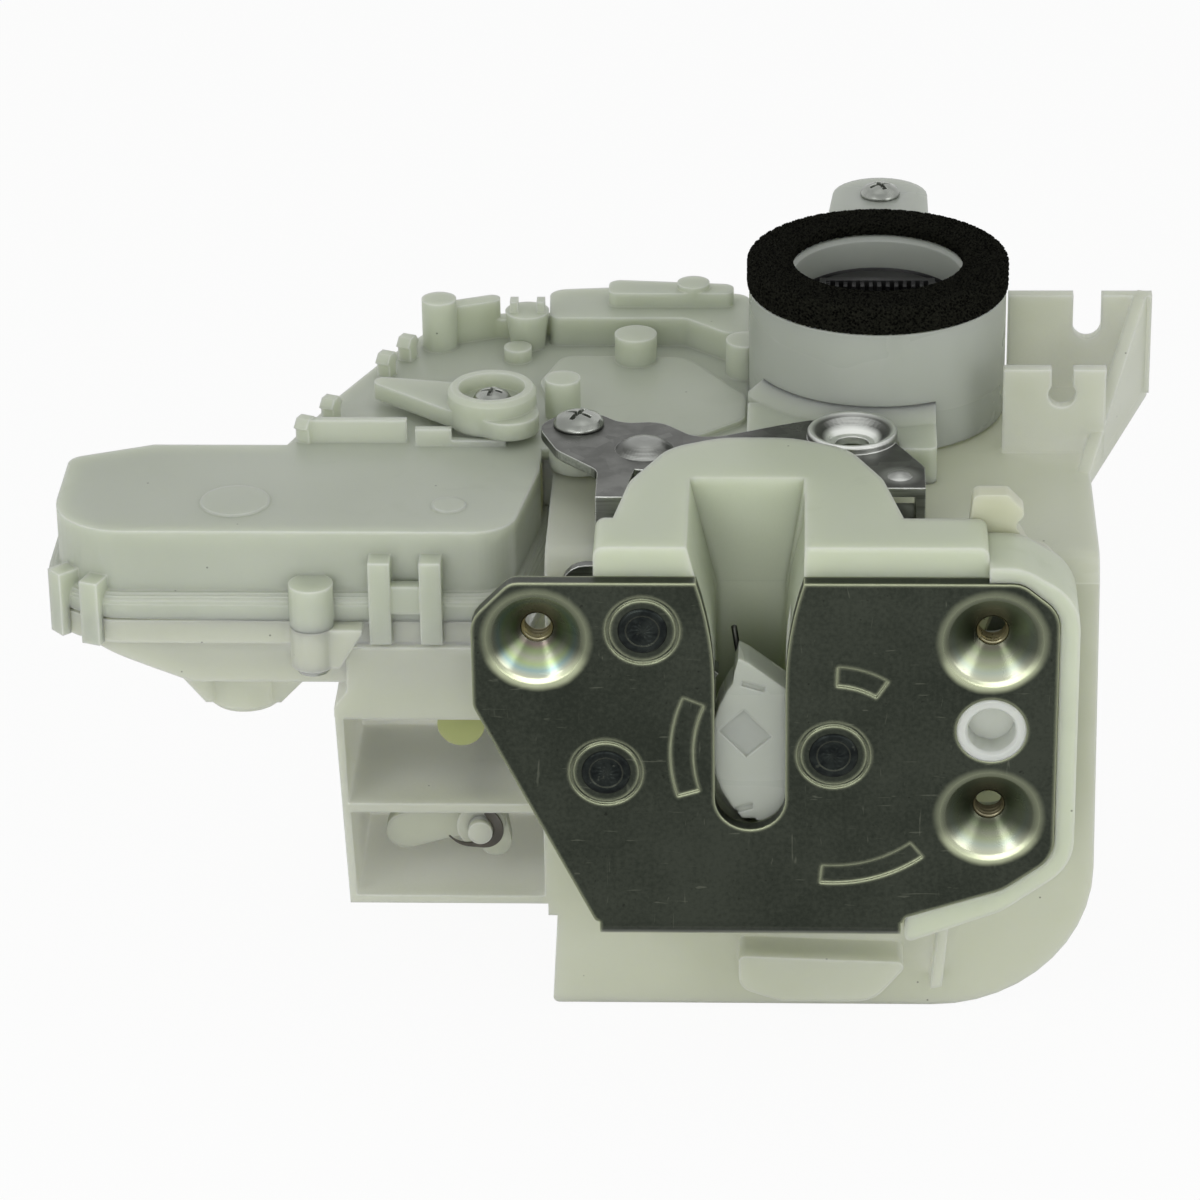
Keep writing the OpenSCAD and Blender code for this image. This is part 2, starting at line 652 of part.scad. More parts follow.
// Steel back plate: an upright face on the rivets and a top leg round the hump
module back_plate() {
    color("#b9bcbd") difference() {
        union() {
            front(back_y, back_y + back_t) polygon(rounded([
                [-30, 34.6, 4], [-31, -4, 6], [-22, -plate_bottom, 5], [12, -plate_bottom, 5],
                [24, -18, 5], [32, 4, 6], [33, 34.6, 3]]));
            // Feet and legs that carry the face up to the top leg
            box(10, 27.9, back_y, 37, floor_z, floor_z + back_t);
            box(27.9 - back_t, 27.9, 29, 37, floor_z, leg_z);
            box(-25, -20.6, back_y, 27, floor_z, floor_z + back_t);
            box(-25, -20.6, 27 - back_t, 27, floor_z, leg_z);
            plan(leg_z - back_t, leg_z) polygon(rounded([
                [-25, 25.4, 1], [-20.6, 25.4, 0.6], [-19, 36], [20, 29], [27.9, 29, 1],
                [27.9, 37, 5], [23.6, 46, 4], [20, 54, 4], [9.6, 55.4, 3], [5, 53.6, 6],
                [-6.6, 48.2, 6], [-10.4, 49.4, 3], [-15.6, 55, 5], [-21.6, 53.6, 5], [-25, 57.4, 4],
                [-31, 58.4, 5], [-35.6, 53, 5], [-32, 43.4, 6], [-25, 35.6, 4]]));
            turned_z(ear_at) polygon([[0, leg_z - 1], [4.6, leg_z - 1], [4.6, leg_z], [0, leg_z]]);
            pressed_dome(dome_at, dome_r, 1.9);
            pressed_dome([23.8, 33.6], 2, 0.9);
            turned_z(ring_at) polygon([[ring_bore_r, leg_z - 2.6], [ring_r - 1.8, leg_z - back_t],
                [ring_r - 0.2, leg_z - back_t], [ring_r, leg_z - back_t + 0.4], [ring_r, leg_z + 1],
                [ring_r - 0.3, leg_z + 1.4], [ring_r - 0.8, leg_z + 1.4], [ring_r - 1.6, leg_z + 0.9],
                [ring_r - 2.8, leg_z - 0.2], [ring_bore_r + 0.8, leg_z - 1.1],
                [ring_bore_r, leg_z - 1.3]]);
        }
        // Clear of the hump and the channel block
        plan(20, leg_z + 3) polygon(rounded(inset(hump_pts, -slide_gap)));
        box(-slot_half - channel_wall - 2, slot_half + channel_wall + 2, back_y - 1,
            channel_depth + channel_wall + 0.4, -slot_half - channel_wall - 1, 50);
        turned_z(ring_at) polygon([[0, leg_z - 5], [ring_bore_r, leg_z - 5], [ring_bore_r, leg_z - 1.3],
            [ring_bore_r + 0.8, leg_z - 1.1], [ring_r - 2.8, leg_z - 0.2], [ring_r - 1.6, leg_z + 0.9],
            [ring_r - 0.8, leg_z + 3], [0, leg_z + 3]]);
        rod_z(ear_at, ear_screw_r, leg_z - 5, leg_z + 3);
        for (p = [claw_at, pawl_at, release_at]) rod_y(p, rivet_r, 0, 30);
        front(back_y - 1, back_y + back_t + 1)
            peg_window();
        for (p = [[hole_right, hole_high_z], [hole_right, hole_low_z]])
            rod_y(p, thread_r + 3, 0, 30);
    }
}

// Tip of the release lever that carries the rod clip
clip_at = [44.6, 33.5];

module outer_release_lever() {
    color("#9a9c98") difference() {
        front(lever_y, lever_y + lever_t) {
            translate(release_at) circle(r = 5.4);
            bar(release_at, nose_at, 3, nose_r);
            bar(release_at, [26, -13], 5.4, 4);
            bar([26, -13], [36, 8], 4, 3.4);
            bar([36, 8], clip_at, 3.4, 3);
        }
        rod_y(release_at, rivet_r + pin_gap, 0, 30);
    }
}

module rod_clip() {
    y0 = lever_y - 1;
    y1 = lever_y + lever_t + 0.6;
    color("#d8d6c2") difference() {
        front(y0, y1) {
            translate(clip_at) circle(r = 3.6);
            polygon(rounded([[41, 33, 1], [46, 32, 1], [44.4, 36.5, 2], [41.6, 41.4, 1],
                [43.4, 43.4, 1.2], [40.4, 46.6, 1], [35, 46.6, 1.2], [34.4, 41, 0.6],
                [37, 40.6, 0.4]]));
        }
        front(lever_y, lever_y + lever_t) {
            bar([36, 8], clip_at, 3.4, 3);
        }
    }
}

module release_pivot() {
    color("#6f7069") turned_y(release_at) polygon([[0, back_y], [rivet_r, back_y],
        [rivet_r, lever_y + lever_t + slide_gap/2], [rivet_r + 1.4, lever_y + lever_t + slide_gap/2],
        [rivet_r + 1.2, lever_y + lever_t + 1], [0, lever_y + lever_t + 1]]);
}

// Front view of the base's flange
flange_pts = [
    [-33, floor_z - 4], [-33.5, -28.9], [-33.5, -32.4], [-32, -32.4], [-33, -flange_drop, 1],
    [flange_right, -flange_drop, flange_corner], [flange_right - 0.8, floor_z - 4]];

// Outline of the motor pod from above
pod_front = 20.5;
pod_corner = 14;
pod_pts = [
    [-pod_left, pod_front, pod_corner], [-37, pod_front, 9], [-33, 46, 6], [-33, 58],
    [-100, 58, 3], [-pod_left, 52, 5]];

// Place between the pod and the module's rear edge, as a share k of the way
lever_front = 56;
function rear_y(k) = lever_front + (module_rear - lever_front)*k;

// Outline of the lever area of the module from above
lever_pts = [
    [-33, 55], [0, 55], [0, module_rear - 3, 4], [-26, module_rear, 2], [-38, module_rear - 1, 4],
    [-56.5, rear_y(0.89), 3], [-63.5, rear_y(0.66), 2], [-70.5, rear_y(0.36), 2],
    [-77.4, lever_front]];

// Point of the module's slanted left edge, and the edge's direction
function edge_at(k) = [-77.4 + 20.9*k/0.89, rear_y(k)];
edge_a = atan2(rear_y(0.89) - lever_front, 20.9);

module pod_shape(d) {
    polygon(rounded(inset(pod_pts, d)));
}

module lever_shape(d) {
    polygon(rounded(inset(lever_pts, d)));
}

// The tray's front view. Its bottom rises to the left, past the worm's end.
module tray_front(d) {
    front(pod_front - 3, 60) polygon([[-pod_left - 2, seam_z + 2], [-pod_left - 2, seam_z - 3.6 + d],
        [-110, seam_z - 4.2 + d], [-97, tray_z + 2.4 + d], [-91, tray_z + d], [-30, tray_z + d],
        [-30, seam_z + 2]]);
}

module base_shell() {
    cup_w = 6.9;
    difference() {
        union() {
            // Tray under the pod and the lever area
            intersection() {
                plan(tray_z, seam_z) pod_shape(2);
                tray_front(0);
            }
            plan(seam_z - 4, seam_z) pod_shape(0);
            plan(tray_z, cover_z - wall) lever_shape(0);
            // Cup that carries the foot of the wheel's axle, between two webs
            turned_z(wheel_at) polygon([[0, cup_z], [cup_w - 1.2, cup_z], [cup_w, cup_z + 1.2],
                [cup_w, tray_z + 1], [0, tray_z + 1]]);
            front(wheel_at[1] - 5, wheel_at[1] + 4) polygon([[-wheel_x - 14.6, tray_z + 3.2],
                [-wheel_x - 6.2, cup_z + 1.4], [-wheel_x + 6.2, cup_z + 1.4],
                [-wheel_x + 14, tray_z + 1]]);
        }
        intersection() {
            plan(tray_z + wall, seam_z + 1) pod_shape(2 + wall);
            tray_front(wall);
        }
        plan(tray_z + wall, cover_z) lever_shape(wall);
        // Pod and lever area are one room
        box(-72, -35, 50, 60, tray_z + wall, cover_z);
    }
    // Bearing of the wheel's axle
    rod_z(wheel_at, 3.6, tray_z, worm_z - wheel_t/2 - slide_gap/2);
    // Saddles under the motor, and the bearing of the worm's free end
    difference() {
        for (x = [motor_x + 1.5, motor_x + motor_len - 5])
            box(x, x + 2.4, worm_at_y - 7, worm_at_y + 7, tray_z + wall - 1, worm_z - 2);
        rod_x(worm_at_y, worm_z, motor_r, motor_x, motor_x + motor_len);
    }
    difference() {
        box(worm_end - 1.4, worm_end + 1.2, worm_at_y - 2.6, worm_at_y + 2.6, tray_z + wall - 1,
            worm_z + 2.4);
        rod_x(worm_at_y, worm_z, shaft_r + pin_gap, worm_end - 0.2, worm_end + 2);
    }
    // Round lug for the screw of the pod's cover, with its web to the open box
    rod_z(case_screw_at, lug_r, seam_z - 7, seam_z);
    box(case_screw_at[0] - lug_r, case_screw_at[0] + lug_r, case_screw_at[1], pod_front + 3,
        seam_z - 7, seam_z);
    front(pod_front - 3.4, pod_front + 1) polygon([[case_screw_at[0], seam_z - 6.8],
        [case_screw_at[0] + lug_r + 0.8, seam_z - 6.8], [case_screw_at[0] + lug_r + 4.6, seam_z - 0.6],
        [case_screw_at[0] + lug_r + 4.6, seam_z], [case_screw_at[0], seam_z]]);
}

module base_housing() {
    near_x = 41.3;
    color("#dfe1d8", 0.9) difference() {
        union() {
            base_shell();
            front(flange_y, flange_y + wall) polygon(rounded(flange_pts));
            // Bend from the flange into the floor
            side(-33, flange_right - 0.8) polygon(concat(
                arc([flange_y + 5, floor_z - 5], 5, 180, 90, 6),
                [[60, floor_z], [60, floor_z - wall]],
                arc([flange_y + 5, floor_z - 5], 5 - wall, 90, 180, 4),
                [[flange_y + wall, floor_z - 8], [flange_y, floor_z - 8]]));
            plan(floor_z - wall, floor_z) polygon(rounded([
                [-10, 52], [flange_right - 0.8, 52], [flange_right + 11.5, far_wall_y + 4, 2],
                [36, far_wall_y + 4], [20, 108, 3], [0, 108]]));
            // Side wall that rises to the far cable wall
            base_side_wall();
            // Cable walls
            box(near_x, 58.2, near_wall_y, near_wall_y + wall, floor_z - 1, cable_top - 1);
            box(43, flange_right + 11, far_wall_y, far_wall_y + wall, floor_z - 1, cable_top + 1);
            // Raised pad and rib on the flange under the plate
            front(flange_y - 7, flange_y + 1) polygon(rounded([[-2, -36, 1], [-2, -42, 3],
                [5, -44.4, 3], [20, -44.4, 6], [26, -37, 1]]));
            front(flange_y - 5, flange_y + 1) polygon([[29.5, -43], [31.4, -42.6], [32.6, -28], [31, -28]]);
            // Lower bay of the module, open to the front
            open_box();
        }
        // Window for the hump and the striker channel
        plan(20, floor_z + 5) polygon(rounded(inset(hump_pts, -1)));
        box(-slot_half - channel_wall - 2.2, slot_half + channel_wall + 2.2, flange_y - 1, channel_depth + 4,
            -slot_half - channel_wall - 1.4, floor_z + 5);
        // Keyhole and slot for the cable
        rod_y([51, 43.6], keyhole_r, near_wall_y - 1, near_wall_y + wall + 1);
        box(51 - keyhole_r + 0.5, 51 + keyhole_r - 0.5, near_wall_y - 1, near_wall_y + wall + 1, 43.6,
            cable_top + 1);
        box(56.4 - cable_slot_w/2, 56.4 + cable_slot_w/2, far_wall_y - 1, far_wall_y + wall + 1,
            42 + cable_slot_w/2, cable_top + 3);
        rod_y([56.4, 42 + cable_slot_w/2], cable_slot_w/2, far_wall_y - 1, far_wall_y + wall + 1);
        // Ways for the back plate's feet
        box(9, 31, flange_y - 1, 37.4, floor_z, floor_z + 4);
        box(-26, -19.6, flange_y - 1, 27.4, floor_z, floor_z + 4);
        rod_y(inner_at, inner_pin_r, flange_y, 70);
        rod_z(wheel_at, axle_r, axle_foot, worm_z);
        rod_z(case_screw_at, case_screw_r, seam_z - 8, seam_z + 1);
    }
}

axle_r = 1.5;
// Lowest face of the cup under the wheel's axle, and the axle's foot in it
cup_z = 0.4;
axle_foot = cup_z + 2;
case_screw_r = 1.5;
lug_r = 3.6;
inner_pin_r = 2;

module base_side_wall() {
    x0 = flange_right - 0.8;
    slope = atan2(11.7, far_wall_y + wall - 52);
    translate([x0, 52, 0]) rotate([0, 0, -slope])
        side(-wall, 0) polygon([[0, floor_z - wall], [38.6, floor_z - wall], [38.6, cable_top + 1],
            [35, cable_top + 1], [0, floor_z]]);
}

module open_box() {
    x0 = -box_left;
    x1 = -33;
    y1 = flange_y + box_depth;
    front(flange_y, flange_y + wall) polygon([[x0, 4.4], [x1, 4.4], [x1, tray_z + 8],
        [x0 + 2.2, tray_z + 8], [x0 + 2.2, 9], [x0, 6]]);
    difference() {
        front(flange_y, y1) polygon([[x0 + 1.4, -box_drop], [x1, -box_drop], [x1, tray_z + 1],
            [x0 + 2.2, tray_z + 1], [x0 + 2.2, 9], [x0, 6]]);
        front(flange_y - 1, y1 - wall) {
            polygon([[x0 + 1.8, -11.6], [x1 - 1, -11.6], [x1 - 1, 4], [x0 + 1.4, 4]]);
            polygon([[x0 + 2.6, -box_drop + 1.4], [x1 - 1, -box_drop + 1.4], [x1 - 1, -13.2],
                [x0 + 2, -13.2]]);
        }
        // Small three-cornered window in the rear wall
        front(y1 - wall - 1, y1 + 1) polygon([[x0 + 7.5, -3.4], [x0 + 11.5, -3.4], [x0 + 7.5, -7]]);
    }
}

module module_cover() {
    color("#e2e4dc", 0.92) difference() {
        union() {
            difference() {
                cover_shell();
                plan(seam_z - 1, cover_z - wall) {
                    pod_shape(2 + wall);
                    lever_shape(0);
                }
                box(-72, -35, 50, 60, seam_z - 1, cover_z - wall);
            }
            // Upper bearing of the wheel's axle
            rod_z(wheel_at, 3.4, slide_z + slide_t + 0.6, cover_z - wall + 0.1);
            // Guides that keep the slide in mesh and in its layer
            box(-92, -53.2, rack_back + 0.3, rack_back + 1.7, slide_z - 0.3, cover_z - wall + 0.1);
            for (x = [-74, -60]) box(x, x + 1.6, rack_back - 3.4, rack_back + 0.4,
                slide_z + slide_t + slide_gap/2, cover_z - wall + 0.1);
            // Post under the back plate's ear
            rod_z(ear_at, 5, cover_z - wall, leg_z - back_t);
            cover_walls();
            pod_snaps();
            // Plinth under the connector port
            port_plinth();
        }
        rod_z(lock_at, lock_shaft_r + pin_gap, cover_z - 5, cover_z + 5);
        rod_z(wheel_at, axle_r, slide_z + slide_t, cover_z - wall + 1);
        rod_z(case_screw_at, case_screw_r, seam_z - 1, seam_z + 5);
        rod_z(ear_at, ear_screw_r, cover_z - 5, leg_z);
        // Clear of the connector port's tube
        rod_z(port_at, port_r, floor_z - 1, lug_z + 1);
    }
}

// The ledge above the seam, rounded over, with the joint opening a little to the left
module pod_ledge() {
    difference() {
        union() {
            plan(seam_z, seam_z + 2.8) pod_shape(0);
            for (i = [1:4])
                plan(seam_z + 2.7, seam_z + 2.8 + 1.8*sin(22.5*i)) pod_shape(1.8*(1 - cos(22.5*i)));
        }
        front(pod_front - 3, 60) polygon([[-pod_left - 2, seam_z - eps], [-80, seam_z - eps],
            [-pod_left - 2, seam_z + 0.7]]);
    }
}

module cover_shell() {
    bump = [-83.8, 33.6];
    plan(seam_z, cover_z) pod_shape(2);
    pod_ledge();
    plan(cover_z - wall, cover_z) lever_shape(0);
    // Low pad on the right of the lever area
    plan(cover_z - 1, cover_z + 0.9) polygon(rounded([[-31, 58], [-9.2, 58.2, 4], [-1.4, 65, 4],
        [-1.4, rear_y(0.34), 5], [-11.7, rear_y(0.63), 5], [-33, rear_y(0.64), 3],
        [-36.5, rear_y(0.44), 5]]));
    // Flat raised pads over the two axles
    rod_z(bump, 5.6, cover_z - 1, cover_z + 0.4);
    rod_z([-49, 32.4], 2.8, cover_z - 1, cover_z + 0.4);
    // Raised shelf along the rear, and the higher block on it
    plan(cover_z - wall, shelf_z) polygon(rounded([[-35.5, rear_y(0.755), 2], [-12, rear_y(0.755), 2],
        [-5, rear_y(0.64), 2], [-1, rear_y(0.64)], [-1, module_rear - 3, 3], [-26, module_rear, 2],
        [-36, module_rear - 1, 3]]));
    plan(cover_z, shelf_z + 2.6) polygon(rounded([[-25.5, rear_y(0.84), 1.5], [-3.8, rear_y(0.84), 1.5],
        [-3.8, module_rear - 4.6, 2], [-25.5, module_rear - 2.6, 2]]));
    rod_z([-10.8, rear_y(0.89)], 2.8, shelf_z, shelf_z + 3.6);
    // Round bosses on the lever area
    rod_z([-20.4, rear_y(0.61)], 3.6, cover_z - 1, shelf_z + 0.5);
    rod_z([-1.5, rear_y(0.545)], 3.4, cover_z - 1, shelf_z + 1);
    rod_z([-32, 68], 3, cover_z - 1, cover_z + 7);
    rod_z([-40.8, rear_y(0.65)], 2.4, cover_z - 1, cover_z + 2.4);
    rod_z([-54.6, rear_y(0.75)], 3, cover_z - 1, cover_z + 9);
    // Hub that the lock lever turns on
    rod_z(lock_at, 6.2, cover_z - 1, cover_z + 1.2);
}

lock_shaft_r = 4;

module cover_walls() {
    t = 1.4;
    top = cover_z + 4;
    // Front strip, stepping down to the right
    box(-74.6, -57.5, 57, 57 + t, cover_z - 1, top);
    box(-56, -50, 55.6, 55.6 + t, cover_z - 1, top - 1);
    box(-50.1, -41, 55.6, 55.6 + t, cover_z - 1, cover_z + 1);
    for (k = [0.05, 0.2, 0.54, 0.67]) edge_snap(k);
    // Slanted wall and the forked post at the rear left
    plan(cover_z - 1, cover_z + 7) bar([-51.4, rear_y(0.8)], [-45.8, rear_y(0.84)], 1.5, 1.5);
    plan(cover_z - 1, cover_z + 3.4) bar([-45.8, rear_y(0.84)], [-37, rear_y(0.86)], 1.4, 1.4);
    translate([-39.4, rear_y(0.76), cover_z - 1]) cylinder(r1 = 2.8, r2 = 3.8, h = 7.6);
    for (x = [-42.3, -37.7]) box(x, x + 1.4, rear_y(0.76) - 1.2, rear_y(0.76) + 1.2, cover_z + 6,
        cover_z + 8.6);
}

// A snap that stands on the slanted edge, with a pointed head
module edge_snap(k) {
    p = edge_at(k);
    translate([p[0], p[1], cover_z]) rotate([0, 0, edge_a]) front(-3.2, -0.8) polygon([[-1.3, -1],
        [1.3, -1], [1.3, 2.3], [2, 2.8], [0.9, 4.2], [-0.9, 4.2], [-2, 2.8], [-1.3, 2.3]]);
}

case_screw_at = [-70.6, 19.4];

// Spring clips that hold the pod's cover to the tray
module pod_snaps() {
    for (x = [-61.3, -53.1]) {
        box(x, x + 3.5, pod_front - 1.9, pod_front, seam_z - 3.2, seam_z + 11.2);
        box(x, x + 3.5, pod_front - 0.1, pod_front + 2.5, seam_z, seam_z + 11.2);
    }
    // Bridge between the two clips
    box(-58, -53, pod_front - 1.4, pod_front + 1, seam_z + 2, seam_z + 6.8);
    // Two more clips on the round corner
    for (a = [222, 249])
        translate([-pod_left + pod_corner, pod_front + pod_corner, 0]) rotate([0, 0, a - 90]) {
            box(-1.6, 1.6, pod_corner, pod_corner + 1.7, seam_z - 4, seam_z + 7);
            box(-1.6, 1.6, pod_corner - 2.5, pod_corner + 0.1, seam_z + 1, seam_z + 7);
        }
    // Screw post at the front
    rod_z(case_screw_at, lug_r, seam_z, seam_z + 7.4);
}

lug_at = [port_x + 0.8, port_y + 33.6];
lug_z = port_top - 4;

shroud_screw_r = 1.7;

// Foot of the tube, just above the base's floor
port_foot = floor_z + 0.4;

module port_plinth() {
    difference() {
        union() {
            plan(floor_z, cover_z) polygon([[-2, 57], [30.2, 57], [30.2, 64], [30.2, 98],
                [30, port_y + 26], [-2, port_y + 28]]);
            // Block in front of the tube that the back plate's ring rests over
            plan(floor_z, leg_z - back_t) polygon(rounded([[2, 47.6, 2], [30.2, 47.6, 1.5],
                [30.2, 66], [-1, 66], [-1, 54, 2]]));
            intersection() {
                turned_z(port_at) polygon([[port_r - 1, leg_z - 3], [port_r + 2.6, leg_z - 3],
                    [port_r + 2.6, leg_z - back_t], [port_r, leg_z + 1], [port_r - 1, leg_z + 1]]);
                box(-1, 30.2, 54, 70, floor_z, leg_z + 2);
            }
            // Post under the port's screw lug
            plan(floor_z, lug_z) bar(lug_at, lug_at + [0, -12], 6.5, 6);
        }
        rod_z(lug_at, shroud_screw_r, lug_z - 10, lug_z + 1);
        // Room under the ring and round the back plate's right leg
        turned_z(ring_at) polygon([[0, leg_z - 3], [ring_r + 0.4, leg_z - 3], [ring_r + 0.4, leg_z],
            [0, leg_z]]);
        // Clear of the base's tray and its far cable wall
        box(-10, 0, 50, 110, floor_z - 1, cover_z - wall);
        box(43, 70, far_wall_y, far_wall_y + wall, floor_z - 1, cable_top);
    }
}

module connector_shroud() {
    color("#f0f1ee") difference() {
        union() {
            turned_z(port_at) polygon([[port_bore_r, port_foot], [port_r, port_foot],
                [port_r, port_top - 2.9], [port_bore_r + 2.6, port_top - 2.9],
                [port_bore_r + 2.2, port_top], [port_bore_r + 0.7, port_top],
                [port_bore_r, port_top - 0.6]]);
            rod_z(port_at, port_bore_r + 1, floor_z, floor_z + wall);
            // Lug with the port's screw
            plan(lug_z, port_top) difference() {
                bar(lug_at, port_at + [0, 15], 8.2, 9);
                translate(port_at) circle(r = port_bore_r + 1);
            }
        }
        rod_z(lug_at, shroud_screw_r, lug_z - 1, port_top + 1);
        plan(port_top - 2.9, port_top + 1) difference() {
            translate(port_at) circle(r = port_r + 0.4);
            translate(port_at) circle(r = port_bore_r + 2.6);
        }
        // Clear of the base's right wall beside the lever area
        box(-10, 0.1, 50, 110, floor_z - 1, cover_z - wall + 0.1);
    }
}

module foam_gasket() {
    z0 = port_top - 2.9;
    color("#2b2a28") turned_z(port_at) polygon([[port_bore_r + 2.6, z0], [port_r + 0.4, z0],
        [port_r + 0.4, z0 + foam_t], [port_bore_r + 2.6, z0 + foam_t]]);
}

// Black insert that fills the tube's bore, with the plug's box and its comb
module connector_body() {
    z0 = floor_z + wall;
    z1 = port_top - 2.4;
    w = 9.8;
    d = 6.4;
    color("#1e1e20") difference() {
        turned_z(port_at) polygon([[0, z0], [port_bore_r, z0], [port_bore_r, z1 - 0.8],
            [port_bore_r - 0.8, z1], [0, z1]]);
        plan(z0 + 3, z1 + 1) translate(port_at) polygon(rounded([[-w + 1.2, -d + 1.2, 0.8],
            [w - 1.2, -d + 1.2, 0.8], [w - 1.2, d - 1.2, 0.8], [-w + 1.2, d - 1.2, 0.8]]));
        // Trough round the box
        plan(z1 - 1.8, z1 + 1) translate(port_at) difference() {
            circle(r = port_bore_r - 1.4);
            polygon(rounded([[-w, -d, 1.5], [w, -d, 1.5], [w, d, 1.5], [-w, d, 1.5]]));
        }
    }
    step = 2*(w - 1.6)/comb_teeth;
    color("#1e1e20") for (i = [0:comb_teeth - 1])
        translate([port_x - w + 1.6 + step*(i + 0.25), port_y + d - 2, z0 + 2])
            cube([step/2, 1.6, z1 - z0 - 1]);
}

module connector_pins() {
    z0 = floor_z + wall;
    step = 2.6;
    color("#c9a24a") for (i = [0:5], j = [0:1])
        translate([port_x - 2.5*step + step*i - 0.32, port_y - 3 + 3.4*j, z0 + 3])
            cube([0.64, 0.64, 7]);
}

module lock_lever() {
    z0 = cover_z + 1.2 + slide_gap/2;
    rim_top = z0 + 6;
    tip = polar(lock_at, lock_arm, 154.7);
    color("#e4e5d9") difference() {
        union() {
            plan(z0, z0 + 3) {
                bar(lock_at, tip, 7, 1.6);
                bar(lock_at, lock_at + [3, -4], 7, 5);
            }
            turned_z(lock_at) polygon([[0, z0], [7.4, z0], [7.4, rim_top - 0.8], [6.8, rim_top],
                [5.6, rim_top], [5.2, rim_top - 2.6], [0, rim_top - 2.6]]);
            rod_z(lock_at, lock_shaft_r, cover_z - wall - slide_gap, z0 + 1);
            rod_z(lock_at, lock_shaft_r - 1, crank_z + 1, z0);
        }
        rod_z(lock_at, 1.6, crank_z - 1, rim_top + 1);
    }
}

module lock_screw() {
    seat = cover_z + 1.2 + slide_gap/2 + 6 - 2.6;
    color("#b8b9b4") difference() {
        union() {
            turned_z(lock_at) polygon([[0, seat], [3.2, seat], [3.2, seat + 0.8], [2.4, seat + 1.8],
                [0, seat + 2.2]]);
            rod_z(lock_at, 1.6, crank_z, seat + 0.5);
        }
        cross_recess(lock_at, seat + 1);
    }
}

module cross_recess(p, z) {
    translate([p[0], p[1], z + 2]) for (a = [45, 135]) rotate([0, 0, a])
        cube([3.4, 0.8, 4], center = true);
}

// The crank and the toothed slide lie in one layer under the cover
crank_t = 2.6;
crank_z = cover_z - wall - 1.2 - crank_t;
slide_t = 2.4;
slide_z = crank_z - slide_gap - slide_t;
crank_pin_r = 1.6;
// The crank swings evenly to both sides of straight ahead
crank_a = -90 + lock_travel/2;
crank_pin = polar(lock_at, crank_len, crank_a);
// Rear edge of the slide's toothed bar
rack_back = wheel_y + pinion_teeth*gear_module/2 + 5.2;

// Flat drawing of spur gear teeth on a circle, thinned at the pitch line for backlash
module tooth_ring(teeth, m, a0, count, slack) {
    pitch_r = teeth*m/2;
    half = 90/teeth - slack/pitch_r*57.3;
    for (i = [0:count - 1]) let (a = a0 + 360/teeth*i)
        polygon([polar([0, 0], pitch_r - 1.3*m, a - half*1.7), polar([0, 0], pitch_r, a - half),
            polar([0, 0], pitch_r + 0.9*m, a - half*0.42), polar([0, 0], pitch_r + 0.9*m, a + half*0.42),
            polar([0, 0], pitch_r, a + half), polar([0, 0], pitch_r - 1.3*m, a + half*1.7)]);
}

module lock_crank() {
    color("#e9e6d2") difference() {
        union() {
            plan(crank_z, crank_z + crank_t) bar(lock_at, crank_pin, 5.6, 3);
            rod_z(lock_at, lock_shaft_r + 1, crank_z, cover_z - wall - slide_gap);
            rod_z(crank_pin, crank_pin_r, slide_z, crank_z + 1);
        }
        rod_z(lock_at, lock_shaft_r - 1, crank_z + 1, cover_z + 1);
        rod_z(lock_at, 1.6, crank_z - 1, crank_z + 3);
    }
}

// Straight teeth along X with their pitch line at y; the teeth point to the front
module rack_teeth(x0, y, count, slack) {
    pitch = PI*gear_module;
    w = pitch/4 - slack;
    for (i = [0:count - 1])
        polygon([[x0 + pitch*i - w*1.75, y + 1.3], [x0 + pitch*i - w, y],
            [x0 + pitch*i - w*0.42, y - 0.9], [x0 + pitch*i + w*0.42, y - 0.9],
            [x0 + pitch*i + w, y], [x0 + pitch*i + w*1.75, y + 1.3]]);
}

module lock_slide() {
    pitch_y = wheel_y + pinion_teeth*gear_module/2;
    bar_y0 = pitch_y + 1.2;
    bar_y1 = rack_back;
    fork_x = crank_pin[0];
    near = crank_len*cos(lock_travel/2);
    fork_y = lock_y - crank_len - crank_pin_r - 1.6;
    color("#e9e6d2") plan(slide_z, slide_z + slide_t) {
        // A gap stands on the line from the pinion's axis
        rack_teeth(-wheel_x - PI*gear_module*1.5, pitch_y, 7, 0.12);
        polygon([[-wheel_x - 8, bar_y0], [fork_x - 0.5, bar_y0], [fork_x - 0.5, bar_y1],
            [-wheel_x - 8, bar_y1]]);
        polygon([[fork_x - 5.2, bar_y1 - 1], [fork_x - 0.5, bar_y1 - 1], [fork_x - 0.5, fork_y + 1],
            [fork_x - 5.2, fork_y + 1]]);
        // Fork round the crank's pin
        difference() {
            polygon(rounded([[fork_x - 3.9, fork_y], [fork_x + 3.9, fork_y],
                [fork_x + 3.9, lock_y - near + 2.4, 1], [fork_x - 3.9, lock_y - near + 2.4, 1]]));
            polygon([[fork_x - crank_pin_r - 0.3, fork_y + 1.2], [fork_x + crank_pin_r + 0.3, fork_y + 1.2],
                [fork_x + crank_pin_r + 0.3, lock_y], [fork_x - crank_pin_r - 0.3, lock_y]]);
        }
    }
}

worm_z = tray_z + wall + motor_r + 0.4;
worm_at_y = wheel_y + wheel_teeth*gear_module/2 + worm_r;
wheel_t = 5;

